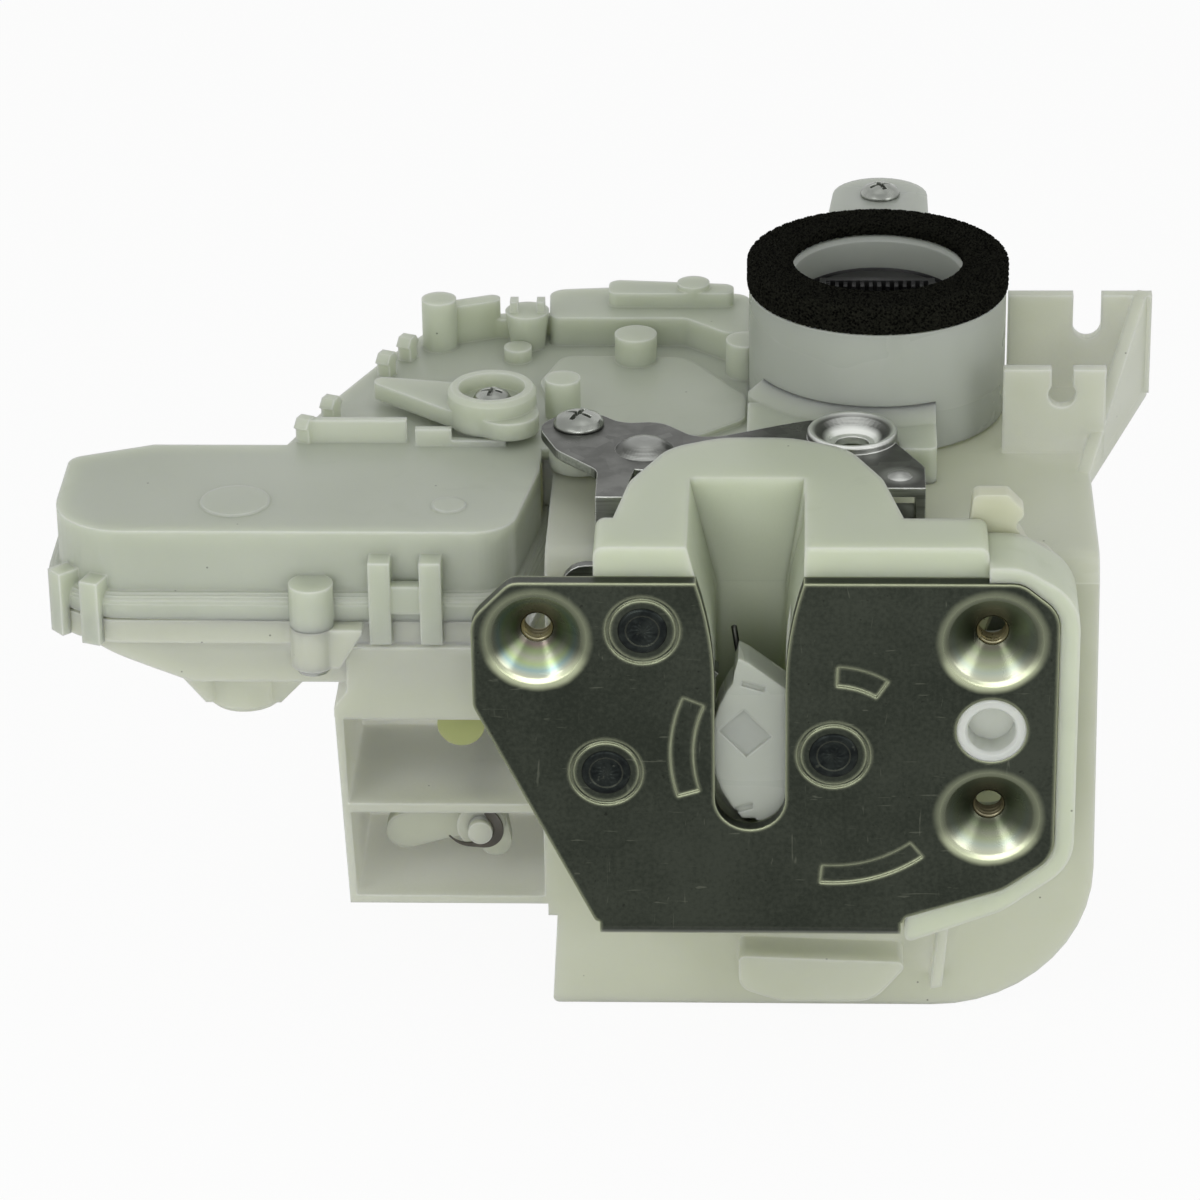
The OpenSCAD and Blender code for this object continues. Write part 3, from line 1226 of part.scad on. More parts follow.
module worm_wheel() {
    pitch_r = wheel_teeth*gear_module/2;
    color("#e9e6d2") translate([wheel_at[0], wheel_at[1], 0]) difference() {
        union() {
            translate([0, 0, worm_z - wheel_t/2]) linear_extrude(wheel_t) {
                circle(r = pitch_r - 1.2*gear_module);
                // One tooth stands between two turns of the worm's thread
                tooth_ring(wheel_teeth, gear_module, 90, wheel_teeth, 0.24);
            }
            translate([0, 0, worm_z]) cylinder(r = 4.2, h = slide_z - worm_z);
            translate([0, 0, slide_z - 0.4]) linear_extrude(slide_t + 0.8) {
                circle(r = pinion_teeth*gear_module/2 - 1.2);
                tooth_ring(pinion_teeth, gear_module, 90, pinion_teeth, 0.12);
            }
        }
        cylinder(r = axle_r + pin_gap, h = 60);
    }
}

module wheel_axle() {
    color("#9a9c98") rod_z(wheel_at, axle_r, axle_foot, cover_z - wall + 1);
}

// Worm thread as a band swept along a helix round the X axis
module worm_thread(x0, turns, r0, r1) {
    lead = PI*gear_module;
    steps = 18;
    n = turns*steps;
    profile = [[r0, -0.75], [r1, -0.34], [r1, 0.34], [r0, 0.75]];
    pts = [for (i = [0:n]) for (q = profile)
        let (a = 360*i/steps) [x0 + lead*i/steps + q[1], q[0]*cos(a), q[0]*sin(a)]];
    faces = concat(
        [[3, 2, 1, 0]],
        [for (i = [0:n - 1]) for (k = [0:3])
            each [[4*i + k, 4*i + 4 + (k + 1) % 4, 4*i + 4 + k],
                  [4*i + k, 4*i + (k + 1) % 4, 4*i + 4 + (k + 1) % 4]]],
        [[4*n, 4*n + 1, 4*n + 2, 4*n + 3]]);
    polyhedron(pts, faces);
}

worm_len = 14;
motor_x = -wheel_x + worm_len/2 + 3;
worm_end = -wheel_x - worm_len/2 - 3;
shaft_r = 1;

module worm() {
    lead = PI*gear_module;
    color("#c9a24a") translate([0, worm_at_y, worm_z]) union() {
        rod_x(0, 0, shaft_r, worm_end, motor_x + 4);
        rod_x(0, 0, worm_r - 1.1, -wheel_x - worm_len/2, -wheel_x + worm_len/2);
        intersection() {
            worm_thread(-wheel_x - 3*lead, 6, worm_r - 1.2, worm_r + 0.9);
            rod_x(0, 0, worm_r + 2, -wheel_x - worm_len/2 + 0.2, -wheel_x + worm_len/2 - 0.2);
        }
    }
}

// A round bar along X with two flat sides
module flatted_rod(r, half, x0, x1) {
    intersection() {
        rod_x(worm_at_y, worm_z, r, x0, x1);
        box(x0, x1, worm_at_y - half, worm_at_y + half, worm_z - r, worm_z + r);
    }
}

module motor_can() {
    color("#a9acac") difference() {
        flatted_rod(motor_r, motor_r*0.8, motor_x, motor_x + motor_len);
        flatted_rod(motor_r - 1, motor_r*0.8 - 1, motor_x + 1, motor_x + motor_len + 1);
        rod_x(worm_at_y, worm_z, shaft_r + pin_gap, motor_x - 1, motor_x + 3);
    }
}

module motor_cap() {
    x1 = motor_x + motor_len;
    color("#f0efe6") flatted_rod(motor_r - 1, motor_r*0.8 - 1, x1 - 4, x1 + 1.6);
}

module inner_release_lever() {
    y0 = flange_y + 9;
    color("#dcdcc8") difference() {
        union() {
            front(y0, y0 + 3) {
                bar(inner_at, inner_at + [-inner_arm, -4], 3.6, 3.2);
                bar(inner_at, inner_at + [2, -6], 3.6, 2.6);
            }
            rod_y(inner_at, 4, clip_y + clip_t + slide_gap/2, flange_y + box_depth - wall - slide_gap/2);
        }
        rod_y(inner_at, inner_pin_r + pin_gap, 0, 90);
    }
}

// The spring clip snaps into a groove near the pin's front end
clip_y = flange_y + 2.4;
clip_t = 0.8;
groove_r = inner_pin_r - 0.5;

module inner_pivot() {
    color("#9a9c98") difference() {
        rod_y(inner_at, inner_pin_r, flange_y + 1, flange_y + box_depth);
        turned_y(inner_at) polygon([[groove_r, clip_y], [inner_pin_r + 1, clip_y],
            [inner_pin_r + 1, clip_y + clip_t], [groove_r, clip_y + clip_t]]);
    }
}

module pivot_clip() {
    color("#2c2c2c") front(clip_y, clip_y + clip_t) difference() {
        translate(inner_at) circle(r = 3.8);
        translate(inner_at) circle(r = groove_r);
        translate([inner_at[0] + 0.9, inner_at[1] - 1.1]) square([6, 2.2]);
    }
}

// Round rubber stop under the roof of the open box
stop_r = 3.9;

module stop_bumper() {
    color("#cfd48a") rod_y([-inner_x - 3, 4 - stop_r - 0.1], stop_r, flange_y + 6,
        flange_y + box_depth - wall);
}

module screw(p, z, r, depth) {
    difference() {
        union() {
            turned_z(p) polygon([[0, z], [r, z], [r, z + 0.9], [r - 0.9, z + 1.9], [0, z + 2.3]]);
            rod_z(p, r*0.5, z - depth, z + 0.5);
        }
        cross_recess(p, z + 1);
    }
}

module bracket_screws() {
    color("#b8b9b4") screw(ear_at, leg_z, 2*ear_screw_r, 7);
}

module case_screws() {
    color("#b8b9b4") union() {
        turned_z(case_screw_at) polygon([[0, seam_z - 9], [1.6, seam_z - 8.8], [3, seam_z - 7.8],
            [3, seam_z - 7], [0, seam_z - 7]]);
        rod_z(case_screw_at, case_screw_r, seam_z - 7.5, seam_z + 5);
    }
}

module shroud_screw() {
    color("#b8b9b4") screw(lug_at, port_top, 2*shroud_screw_r, 12);
}

latch_plate();
locator_bush();
latch_housing();
back_plate();
claw_core();
claw_jacket();
claw_spring();
pawl();
pawl_lifter();
pawl_spring();
claw_pivot();
pawl_pivot();
spacer_rivet();
striker_bumper();
outer_release_lever();
rod_clip();
release_pivot();
base_housing();
module_cover();
connector_shroud();
foam_gasket();
connector_body();
connector_pins();
lock_lever();
lock_screw();
lock_crank();
lock_slide();
worm_wheel();
wheel_axle();
worm();
motor_can();
motor_cap();
inner_release_lever();
inner_pivot();
pivot_clip();
stop_bumper();
bracket_screws();
case_screws();
shroud_screw();
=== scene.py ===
import math
import bpy
import numpy as np
from mathutils import Matrix, Vector


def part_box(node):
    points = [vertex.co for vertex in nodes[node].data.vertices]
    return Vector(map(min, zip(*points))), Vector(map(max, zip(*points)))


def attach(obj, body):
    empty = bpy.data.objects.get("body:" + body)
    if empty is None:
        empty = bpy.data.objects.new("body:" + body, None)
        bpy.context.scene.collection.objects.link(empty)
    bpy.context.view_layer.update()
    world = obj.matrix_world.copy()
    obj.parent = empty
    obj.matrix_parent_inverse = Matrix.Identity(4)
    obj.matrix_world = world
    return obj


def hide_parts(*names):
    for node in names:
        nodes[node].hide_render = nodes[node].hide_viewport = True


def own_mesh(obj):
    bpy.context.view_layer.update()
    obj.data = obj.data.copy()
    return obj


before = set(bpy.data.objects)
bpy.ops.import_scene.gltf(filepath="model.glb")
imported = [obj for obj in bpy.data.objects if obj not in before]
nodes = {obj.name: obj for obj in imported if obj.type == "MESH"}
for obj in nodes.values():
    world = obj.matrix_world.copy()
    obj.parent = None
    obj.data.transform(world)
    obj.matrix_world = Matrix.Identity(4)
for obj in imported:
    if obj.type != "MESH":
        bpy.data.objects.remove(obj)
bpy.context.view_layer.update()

mm = 0.001
turn = 2 * math.pi
fixingHoles = ((-33.5, 28.3), (38, 28), (38, -3))    # centres across and up, in millimetres
print("stage: frame loaded,", len(nodes), "nodes")


# Surfaces

weldStep = 1e-7      # metres, points on the same step become one
arcShare = 0.45      # the most of a side that a softened corner takes
wireSides = 14
capWidth = np.array([0.0, 0.7])      # a wire's rounded end from the tip inwards, in radii
capReach = np.array([0.5, 0.35])


def sheetOf(name, points, material, body, stands=(), ringU=False, ringV=False, flip=False):
    # A grid of points (rows, columns, 3) in metres becomes one mesh of quads
    rows, cols = points.shape[:2]
    a = np.arange(rows if ringU else rows - 1)[:, None]
    b = np.arange(cols if ringV else cols - 1)[None, :]
    a1, b1 = (a + 1) % rows, (b + 1) % cols
    quads = np.stack([a * cols + b, a1 * cols + b, a1 * cols + b1, a * cols + b1], -1).reshape(-1, 4)
    return solidOf(name, points.reshape(-1, 3), quads[:, ::-1] if flip else quads, material, body, stands)


def solidOf(name, points, quads, material, body, stands):
    # Equal points are welded, and a quad that loses a corner by it becomes a triangle
    keys, back = np.unique(np.round(points / weldStep).astype(np.int64), axis=0, return_inverse=True)
    back = back.reshape(-1)
    welded = np.zeros((len(keys), 3))
    welded[back] = points
    faces = back[quads]
    fresh = faces != np.roll(faces, 1, axis=1)
    loops, starts, count = [], [], 0
    for corners in (4, 3):
        chosen = fresh.sum(1) == corners
        part = faces[chosen][fresh[chosen]]
        loops.append(part)
        starts.append(count + np.arange(chosen.sum()) * corners)
        count += part.size
    loops, starts = np.concatenate(loops), np.concatenate(starts)
    mesh = bpy.data.meshes.new(name)
    mesh.vertices.add(len(welded))
    mesh.vertices.foreach_set("co", welded.astype(np.float32).reshape(-1))
    mesh.loops.add(len(loops))
    mesh.loops.foreach_set("vertex_index", loops.astype(np.int32))
    mesh.polygons.add(len(starts))
    mesh.polygons.foreach_set("loop_start", starts.astype(np.int32))
    mesh.polygons.foreach_set("use_smooth", np.ones(len(starts), dtype=bool))
    mesh.update(calc_edges=True)
    mesh.validate()
    mesh.materials.append(material)
    piece = bpy.data.objects.new(name, mesh)
    bpy.context.scene.collection.objects.link(piece)
    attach(piece, body)
    if stands:
        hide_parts(*stands)
    return piece


def wireOf(name, path, radius, material, body, stands):
    # point(i, v) = path(i) + radius (cos v first + sin v second), closed with shrinking end rings;
    # first is the direction square to the path that is nearest to Y, and second is square to both
    tangent = np.gradient(path, axis=0)
    tangent /= np.linalg.norm(tangent, axis=1, keepdims=True)
    first = np.array([0.0, 1.0, 0.0]) - tangent[:, 1:2] * tangent
    first /= np.linalg.norm(first, axis=1, keepdims=True)
    second = np.cross(tangent, first)
    v = np.linspace(0, turn, wireSides, endpoint=False)[None, :, None]
    around = np.cos(v) * first[:, None] + np.sin(v) * second[:, None]
    reach = capReach[:, None] * radius
    centre = np.concatenate([path[0] - tangent[0] * reach, path, path[-1] + tangent[-1] * reach[::-1]])
    wide = np.concatenate([capWidth, np.ones(len(path)), capWidth[::-1]]) * radius
    spread = np.concatenate([np.repeat(around[:1], 2, 0), around, np.repeat(around[-1:], 2, 0)])
    grid = centre[:, None] + spread * wide[:, None, None]
    return sheetOf(name, grid, material, body, stands, ringV=True, flip=True)


def turnedOf(name, profile, centre, axis, material, body, stands, relief, steps=96):
    # point(a, k) = centre + radius(k) (cos a side + sin a up) + height(k) axis, plus a relief on height
    axis = np.array(axis, float)
    side = np.array([1.0, 0, 0])
    other = np.cross(axis, side)
    a = np.linspace(0, turn, steps, endpoint=False)[None, :]
    radius = profile[:, :1] + 0 * a
    height = profile[:, 1:] + relief(radius, a + 0 * radius)
    ring = np.cos(a)[..., None] * side + np.sin(a)[..., None] * other
    grid = np.array(centre) + radius[..., None] * ring + height[..., None] * axis
    return sheetOf(name, grid * mm, material, body, stands, ringV=True)


def softened(corners, radius, steps=5):
    # A polyline with each inner corner turned into an arc: (1-t)^2 p + 2t(1-t) corner + t^2 q
    corners = np.array(corners, float)
    out = [corners[:1]]
    for before, here, after in zip(corners[:-2], corners[1:-1], corners[2:]):
        u, v = before - here, after - here
        lu, lv = np.linalg.norm(u), np.linalg.norm(v)
        r = min(radius, lu * arcShare, lv * arcShare)
        t = np.linspace(0, 1, steps + 1)[:, None]
        p, q = here + u / lu * r, here + v / lv * r
        out.append((1 - t) ** 2 * p + 2 * t * (1 - t) * here + t ** 2 * q)
    out.append(corners[-1:])
    return np.concatenate(out)


# Materials. Pattern scales are per metre, reaches and radii in millimetres

rays = dict(hollow=8, edge=6)        # how many each point sends out to feel its surroundings


class Signal:
    # A shader socket that Python's own operators add Math nodes to
    def __init__(self, paint, socket):
        self.paint, self.socket = paint, socket

    def joined(self, operation, first, second):
        return self.paint.add("ShaderNodeMath", {"operation": operation}, {0: first, 1: second})

    def __add__(self, other):
        return self.joined("ADD", self, other)

    def __radd__(self, other):
        return self.joined("ADD", other, self)

    def __sub__(self, other):
        return self.joined("SUBTRACT", self, other)

    def __rsub__(self, other):
        return self.joined("SUBTRACT", other, self)

    def __mul__(self, other):
        return self.joined("MULTIPLY", self, other)

    def __rmul__(self, other):
        return self.joined("MULTIPLY", other, self)


class Paint:
    # The nodes of one material or of the world, all added by one method
    def __init__(self, owner):
        owner.use_nodes = True
        self.owner, self.tree, self.seat = owner, owner.node_tree, None
        self.tree.nodes.clear()

    def add(self, kind, settings=None, sockets=None, out=0):
        node = self.tree.nodes.new(kind)
        for key, value in (settings or {}).items():
            if key == "stops":
                ramp = node.color_ramp
                while len(ramp.elements) < len(value):
                    ramp.elements.new(0.5)
                for stop, (at, colour) in zip(ramp.elements, value):
                    stop.position, stop.color = at, colour
            else:
                setattr(node, key, value)
        for key, value in (sockets or {}).items():
            if isinstance(value, Signal):
                self.tree.links.new(value.socket, node.inputs[key])
            else:
                node.inputs[key].default_value = value
        return Signal(self, node.outputs[out]) if len(node.outputs) else node

    @property
    def place(self):
        if self.seat is None:
            self.seat = self.add("ShaderNodeTexCoord", out="Object")
        return self.seat

    def noise(self, scale, detail=3.0, rough=0.5, stretch=None, distortion=0.0):
        at = self.place
        if stretch:
            at = self.add("ShaderNodeMapping", {"vector_type": "POINT"}, {"Vector": at, "Scale": stretch})
        return self.add("ShaderNodeTexNoise", {}, {"Vector": at, "Scale": scale, "Detail": detail,
                                                   "Roughness": rough, "Distortion": distortion}, "Fac")

    def cells(self, scale, out="Distance"):
        return self.add("ShaderNodeTexVoronoi", {"feature": "F1"}, {"Vector": self.place, "Scale": scale}, out)

    def between(self, value, low, high, bottom=0.0, top=1.0):
        # bottom up to low, top from high on, and a smooth step from one to the other
        return self.add("ShaderNodeMapRange", {"interpolation_type": "SMOOTHSTEP"},
                        {"Value": value, "From Min": low, "From Max": high, "To Min": bottom, "To Max": top})

    def mixed(self, factor, first, second):
        return self.add("ShaderNodeMix", {"data_type": "RGBA"},
                        {0: factor, 6: rgba(first), 7: rgba(second)}, 2)

    def banded(self, value, stops):
        stops = [(at, rgba(colour)) for at, colour in stops]
        return self.add("ShaderNodeValToRGB", {"stops": stops}, {0: value}, "Color")

    def split(self, vector, part):
        return self.add("ShaderNodeSeparateXYZ", {}, {0: vector}, part)

    def farFrom(self, places, flatAxis):
        # Distance in millimetres to the nearest of some axes, each given by its two other coordinates
        across = [self.split(self.place, i) for i in range(3) if i != flatAxis]
        reach = None
        for place in places:
            step = self.add("ShaderNodeCombineXYZ", {}, {i: across[i] - place[i] * mm for i in (0, 1)})
            away = self.add("ShaderNodeVectorMath", {"operation": "LENGTH"}, {0: step}, "Value")
            reach = away if reach is None else reach.joined("MINIMUM", reach, away)
        return reach * (1 / mm)

    def hollow(self, reach):
        # 1 deep inside a hollow of the piece itself, 0 where nothing is near
        shut = self.add("ShaderNodeAmbientOcclusion", {"samples": rays["hollow"], "only_local": True},
                        {"Distance": reach * mm}, "AO")
        return self.between(shut, 0.15, 0.80, 1.0, 0.0)

    def softNormal(self, radius):
        return self.add("ShaderNodeBevel", {"samples": rays["edge"]}, {"Radius": radius * mm})

    def rim(self, radius, low=0.72, high=0.985):
        # 1 along edges, where the rounded normal turns away from the flat one
        flat = self.add("ShaderNodeNewGeometry", out="True Normal")
        alike = self.add("ShaderNodeVectorMath", {"operation": "DOT_PRODUCT"},
                         {0: self.softNormal(radius), 1: flat}, "Value")
        return self.between(alike, low, high, 1.0, 0.0)

    def relief(self, height, distance, strength=1.0, rounding=0.0):
        # Bump whose height 1 stands distance millimetres high, on top of softly rounded edges
        sockets = {"Strength": strength, "Distance": distance * mm, "Height": height}
        if rounding:
            sockets["Normal"] = self.softNormal(rounding)
        return self.add("ShaderNodeBump", {}, sockets)

    def close(self, **sockets):
        names = {key.replace("_", " "): value for key, value in sockets.items()}
        surface = self.add("ShaderNodeBsdfPrincipled", {}, names)
        self.add("ShaderNodeOutputMaterial", {}, {"Surface": surface})
        return self.owner


def rgba(colour):
    return colour if isinstance(colour, Signal) else (*colour[:3], 1.0)


def newPaint(name):
    return Paint(bpy.data.materials.new(name))


# base and shade mix in clouds, inner the light that comes through; the paler edge colour is painted light along
# the edges;
# one hollow colour lifts the hollows of a piece with slender walls with painted light, the other darkens those
# of the thick one with painted shade
plasticLook = {
    "housing": dict(base=(0.555, 0.600, 0.465), shade=(0.510, 0.555, 0.420), paintedEdgeLight=(0.72, 0.74, 0.65),
                    paintedHollowShade=(0.300, 0.335, 0.225), rough=0.34, inner=0.75, edge=1.5, cloud=0.6),
    "natural": dict(base=(0.550, 0.570, 0.480), shade=(0.500, 0.520, 0.420), paintedEdgeLight=(0.72, 0.74, 0.66),
                    paintedHollowLight=(0.93, 0.94, 0.86), rough=0.40, inner=0.80, edge=0.8, cloud=0.9),
    "cover": dict(base=(0.510, 0.545, 0.450), shade=(0.450, 0.485, 0.390), paintedEdgeLight=(0.72, 0.74, 0.67),
                  rough=0.38, inner=0.80, edge=0.8, cloud=0.9),
    "shroud": dict(base=(0.435, 0.460, 0.410), shade=(0.400, 0.425, 0.375), paintedEdgeLight=(0.68, 0.71, 0.66),
                   rough=0.28, inner=0.45, edge=0.6, cloud=0.4),
    "claw": dict(base=(0.440, 0.470, 0.395), shade=(0.405, 0.435, 0.355), paintedEdgeLight=(0.66, 0.69, 0.60),
                 rough=0.30, inner=0.60, edge=0.6, cloud=0.5),
    "bush": dict(base=(0.640, 0.665, 0.600), shade=(0.595, 0.620, 0.545), paintedEdgeLight=(0.72, 0.74, 0.68),
                 rough=0.32, inner=0.60, edge=0.35, cloud=0.5),
    "yellowed": dict(base=(0.555, 0.565, 0.435), shade=(0.490, 0.500, 0.365), paintedEdgeLight=(0.66, 0.67, 0.54),
                     rough=0.36, inner=0.60, edge=0.5, cloud=1.0),
    "gear": dict(base=(0.570, 0.545, 0.410), shade=(0.500, 0.475, 0.345), paintedEdgeLight=(0.64, 0.62, 0.48),
                 rough=0.42, inner=0.40, edge=0.15, cloud=0.8),
    "stop": dict(base=(0.390, 0.420, 0.190), shade=(0.330, 0.360, 0.140), paintedEdgeLight=(0.47, 0.50, 0.26),
                 rough=0.55, inner=0.40, edge=0.4, cloud=0.8),
}
# Among these: the reaches in millimetres of the painted light and painted shade in hollows, their shared
# strength, and the strength of the painted light on edges
plasticGrain = dict(cloud=26, flow=18, grain=3200, smear=85, speck=150, paintedLightReach=26, paintedShadeReach=22, hollow=0.75,
                    paintedEdgeShare=0.6, dirt=0.30, specks=0.8, smears=0.035, bump=0.02, inward=0.009)


def plastic(name):
    # Milky moulded plastic: wide clouds, flow marks, fine spark grain, edges paled with painted light, hollows
    # lifted with painted light on one piece and darkened with painted shade on another, a few specks
    look, g = plasticLook[name], plasticGrain
    p = newPaint(name + "Plastic")
    cloud = p.noise(g["cloud"], 2, 0.45)
    flow = p.noise(g["flow"], 2, 0.5, stretch=(1, 1, 4))
    grain = p.noise(g["grain"], 2, 0.55)
    smear = p.between(p.noise(g["smear"], 4, 0.62, distortion=0.8), 0.56, 0.74)
    speck = p.between(p.cells(g["speck"]), 0.020, 0.034, 1.0, 0.0)
    tone = p.mixed(p.between(cloud * 0.6 + flow * 0.4, 0.30, 0.70, 0.0, look["cloud"]), look["base"],
                   look["shade"])
    # Paler edges: painted light along the edges, standing in for light through the plastic there
    tone = p.mixed(p.rim(look["edge"] * 0.8) * g["paintedEdgeShare"], tone, look["paintedEdgeLight"])
    # Painted light that lifts the hollows, where light would come through the slender walls
    if "paintedHollowLight" in look:
        tone = p.mixed(p.hollow(g["paintedLightReach"]) * g["hollow"], tone, look["paintedHollowLight"])
    # Painted shade that darkens the hollows of the thick housing
    if "paintedHollowShade" in look:
        tone = p.mixed(p.hollow(g["paintedShadeReach"]) * g["hollow"], tone, look["paintedHollowShade"])
    dirt = tuple(g["dirt"] * c for c in look["shade"])
    return p.close(
        Base_Color=p.mixed(speck * g["specks"] + smear * g["smears"], tone, dirt),
        Roughness=p.between(flow, 0.3, 0.7, look["rough"] - 0.05, look["rough"] + 0.06) + smear * 0.12,
        Normal=p.relief(grain * 0.5 + smear * 0.2, g["bump"], 0.5, look["edge"]),
        Subsurface_Weight=look["inner"], Subsurface_Radius=(1.0, 1.0, 0.82), Subsurface_Scale=g["inward"],
        Subsurface_Anisotropy=0.3, IOR=1.49, Specular_IOR_Level=0.42)


metalLook = {
    "core": dict(base=(0.150, 0.160, 0.140), shade=(0.085, 0.092, 0.080), worn=(0.42, 0.43, 0.38),
                 rough=0.34, relief=0.6),
    "screw": dict(base=(0.36, 0.375, 0.345), shade=(0.22, 0.23, 0.21), worn=(0.62, 0.64, 0.60),
                  rough=0.22, relief=0.4),
    "spring": dict(base=(0.055, 0.058, 0.050), shade=(0.030, 0.031, 0.027), worn=(0.16, 0.16, 0.14),
                   rough=0.32, relief=0.5),
    "thread": dict(base=(0.40, 0.37, 0.24), shade=(0.24, 0.22, 0.15), worn=(0.66, 0.62, 0.44),
                   rough=0.26, relief=0.3),
    "brass": dict(base=(0.60, 0.44, 0.19), shade=(0.46, 0.33, 0.14), worn=(0.76, 0.60, 0.32),
                  rough=0.28, relief=0.4),
}
metalGrain = dict(crystal=1600, smudge=150, scratchUp=90, scratchAcross=95, edge=0.22, wear=0.7, bump=0.02,
                  rounding=0.18)


def metal(name):
    # Cold formed metal: smudges, tiny crystals, short scratches in two directions, brighter worn edges
    look, g = metalLook[name], metalGrain
    p = newPaint(name + "Metal")
    crystal = p.cells(g["crystal"])
    smudge = p.noise(g["smudge"], 4, 0.6)
    scratch = (p.between(p.noise(g["scratchUp"], 2, 0.5, stretch=(40, 1, 3)), 0.64, 0.71)
               + p.between(p.noise(g["scratchAcross"], 2, 0.5, stretch=(2, 36, 1)), 0.65, 0.72))
    tone = p.mixed(p.between(smudge, 0.35, 0.65), look["base"], look["shade"])
    return p.close(
        Base_Color=p.mixed(p.rim(g["edge"]) * g["wear"], tone, look["worn"]), Metallic=1.0,
        Roughness=p.between(smudge, 0.3, 0.7, look["rough"], look["rough"] + 0.12) + scratch * 0.05,
        Normal=p.relief(crystal * 0.3 - scratch * 0.4, g["bump"], look["relief"], g["rounding"]))


# bright is the colour of worn edges and of the painted highlights, dark that of a painted shade ring
bracketLook = dict(base=(0.135, 0.138, 0.128), shade=(0.078, 0.080, 0.073), bright=(0.74, 0.76, 0.72),
                   dark=(0.045, 0.050, 0.043), spangle=260, smudge=110, drawn=40, edge=0.35, wear=0.75,
                   rings=((16.3, 48.9),), ringRadius=7.6, domes=((-17.6, 43.8), (23.8, 33.6)))


def galvanisedSteel():
    # Zinc coated bracket: grey spangle, painted highlights and painted shade in rings round the dish, painted
    # highlights on the domes' crowns, and faces to the front made brighter with painted light
    look = bracketLook
    p = newPaint("galvanisedSteel")
    spangle = p.split(p.cells(look["spangle"], "Color"), 0)
    smudge = p.noise(look["smudge"], 4, 0.6)
    drawn = p.noise(look["drawn"], 2, 0.5, stretch=(3, 60, 60))
    tone = p.mixed(p.between(smudge * 0.8 + spangle * 0.2, 0.32, 0.66), look["base"], look["shade"])
    reach = p.farFrom(look["rings"], 2) + (smudge - 0.5) * 0.5
    # Painted highlight and painted shade in rings round the dish, in place of what its curved faces would
    # reflect
    paintedRingBands = p.banded(reach * (1 / look["ringRadius"]), [
        (0.0, look["base"]), (0.28, look["dark"]), (0.40, look["bright"]), (0.55, look["bright"]),
        (0.66, look["shade"]), (0.80, look["base"]), (0.90, look["bright"]), (1.0, look["base"])])
    tone = p.mixed(p.between(reach, 7.2, 7.7, 1.0, 0.0), tone, paintedRingBands)
    # Painted highlight on the crown of each dome
    crown = p.farFrom(look["domes"], 2)
    tone = p.mixed(p.between(crown, 2.2, 4.0, 0.25, 0.0), tone, look["bright"])
    # Faces turned to the front, towards the lamps, made brighter with painted light, in streaks
    front = p.split(p.add("ShaderNodeNewGeometry", out="True Normal"), 1)
    tone = p.mixed(p.between(front, -0.9, -0.3, 0.8, 0.0) * p.between(drawn, 0.2, 0.6, 0.5, 1.0), tone,
                   look["bright"])
    return p.close(
        Base_Color=p.mixed(p.rim(look["edge"]) * look["wear"], tone, look["bright"]), Metallic=1.0,
        Roughness=p.between(smudge, 0.3, 0.7, 0.24, 0.36) + drawn * 0.04,
        Normal=p.relief(drawn * 0.3 + spangle * 0.12, 0.02, 0.6, look["edge"]))


leverLook = dict(base=(0.30, 0.31, 0.28), shade=(0.19, 0.20, 0.175), bright=(0.66, 0.68, 0.62), smudge=120,
                 drawn=36, edge=0.3, wear=0.7)


def zincSheet():
    # Bright zinc on the hidden levers and the motor's can
    look = leverLook
    p = newPaint("zincSheet")
    smudge = p.noise(look["smudge"], 4, 0.6)
    drawn = p.noise(look["drawn"], 2, 0.5, stretch=(50, 3, 50))
    tone = p.mixed(p.between(smudge, 0.34, 0.66), look["base"], look["shade"])
    return p.close(Base_Color=p.mixed(p.rim(look["edge"]) * look["wear"], tone, look["bright"]), Metallic=1.0,
                   Roughness=p.between(smudge, 0.3, 0.7, 0.26, 0.38),
                   Normal=p.relief(drawn, 0.02, 0.5, look["edge"]))


chromateLook = {
    "olive": (0.0260, 0.0305, 0.0235), "pale": (0.0440, 0.0495, 0.0385), "rust": (0.012, 0.013, 0.010),
    "edge": (0.50, 0.54, 0.36), "cone": (0.50, 0.52, 0.40), "shade": (0.20, 0.22, 0.15),
    "green": (0.42, 0.53, 0.26), "rose": (0.50, 0.38, 0.36), "blue": (0.28, 0.42, 0.42),
    "paintedShade": (0.022, 0.028, 0.018), "coneRadius": 8.0, "cloud": 38, "rolled": 26, "mottle": 1300, "pit": 900,
    "hair": ((150, (1, 1, 9), 1.2, 0.70), (130, (7, 1, 1), 1.4, 0.71)),    # scale, stretch, curl, start
    "rowStep": 31.1, "lowRow": 3,     # millimetres between the cones' two rows, and of the lower one under 0
    "parting": (0.0122, 0.0128),      # heights in metres of the step between the rows
    "paintedHemHighlight": (-0.0250, -0.0238),        # and of the lower edge, lightened with painted light
}


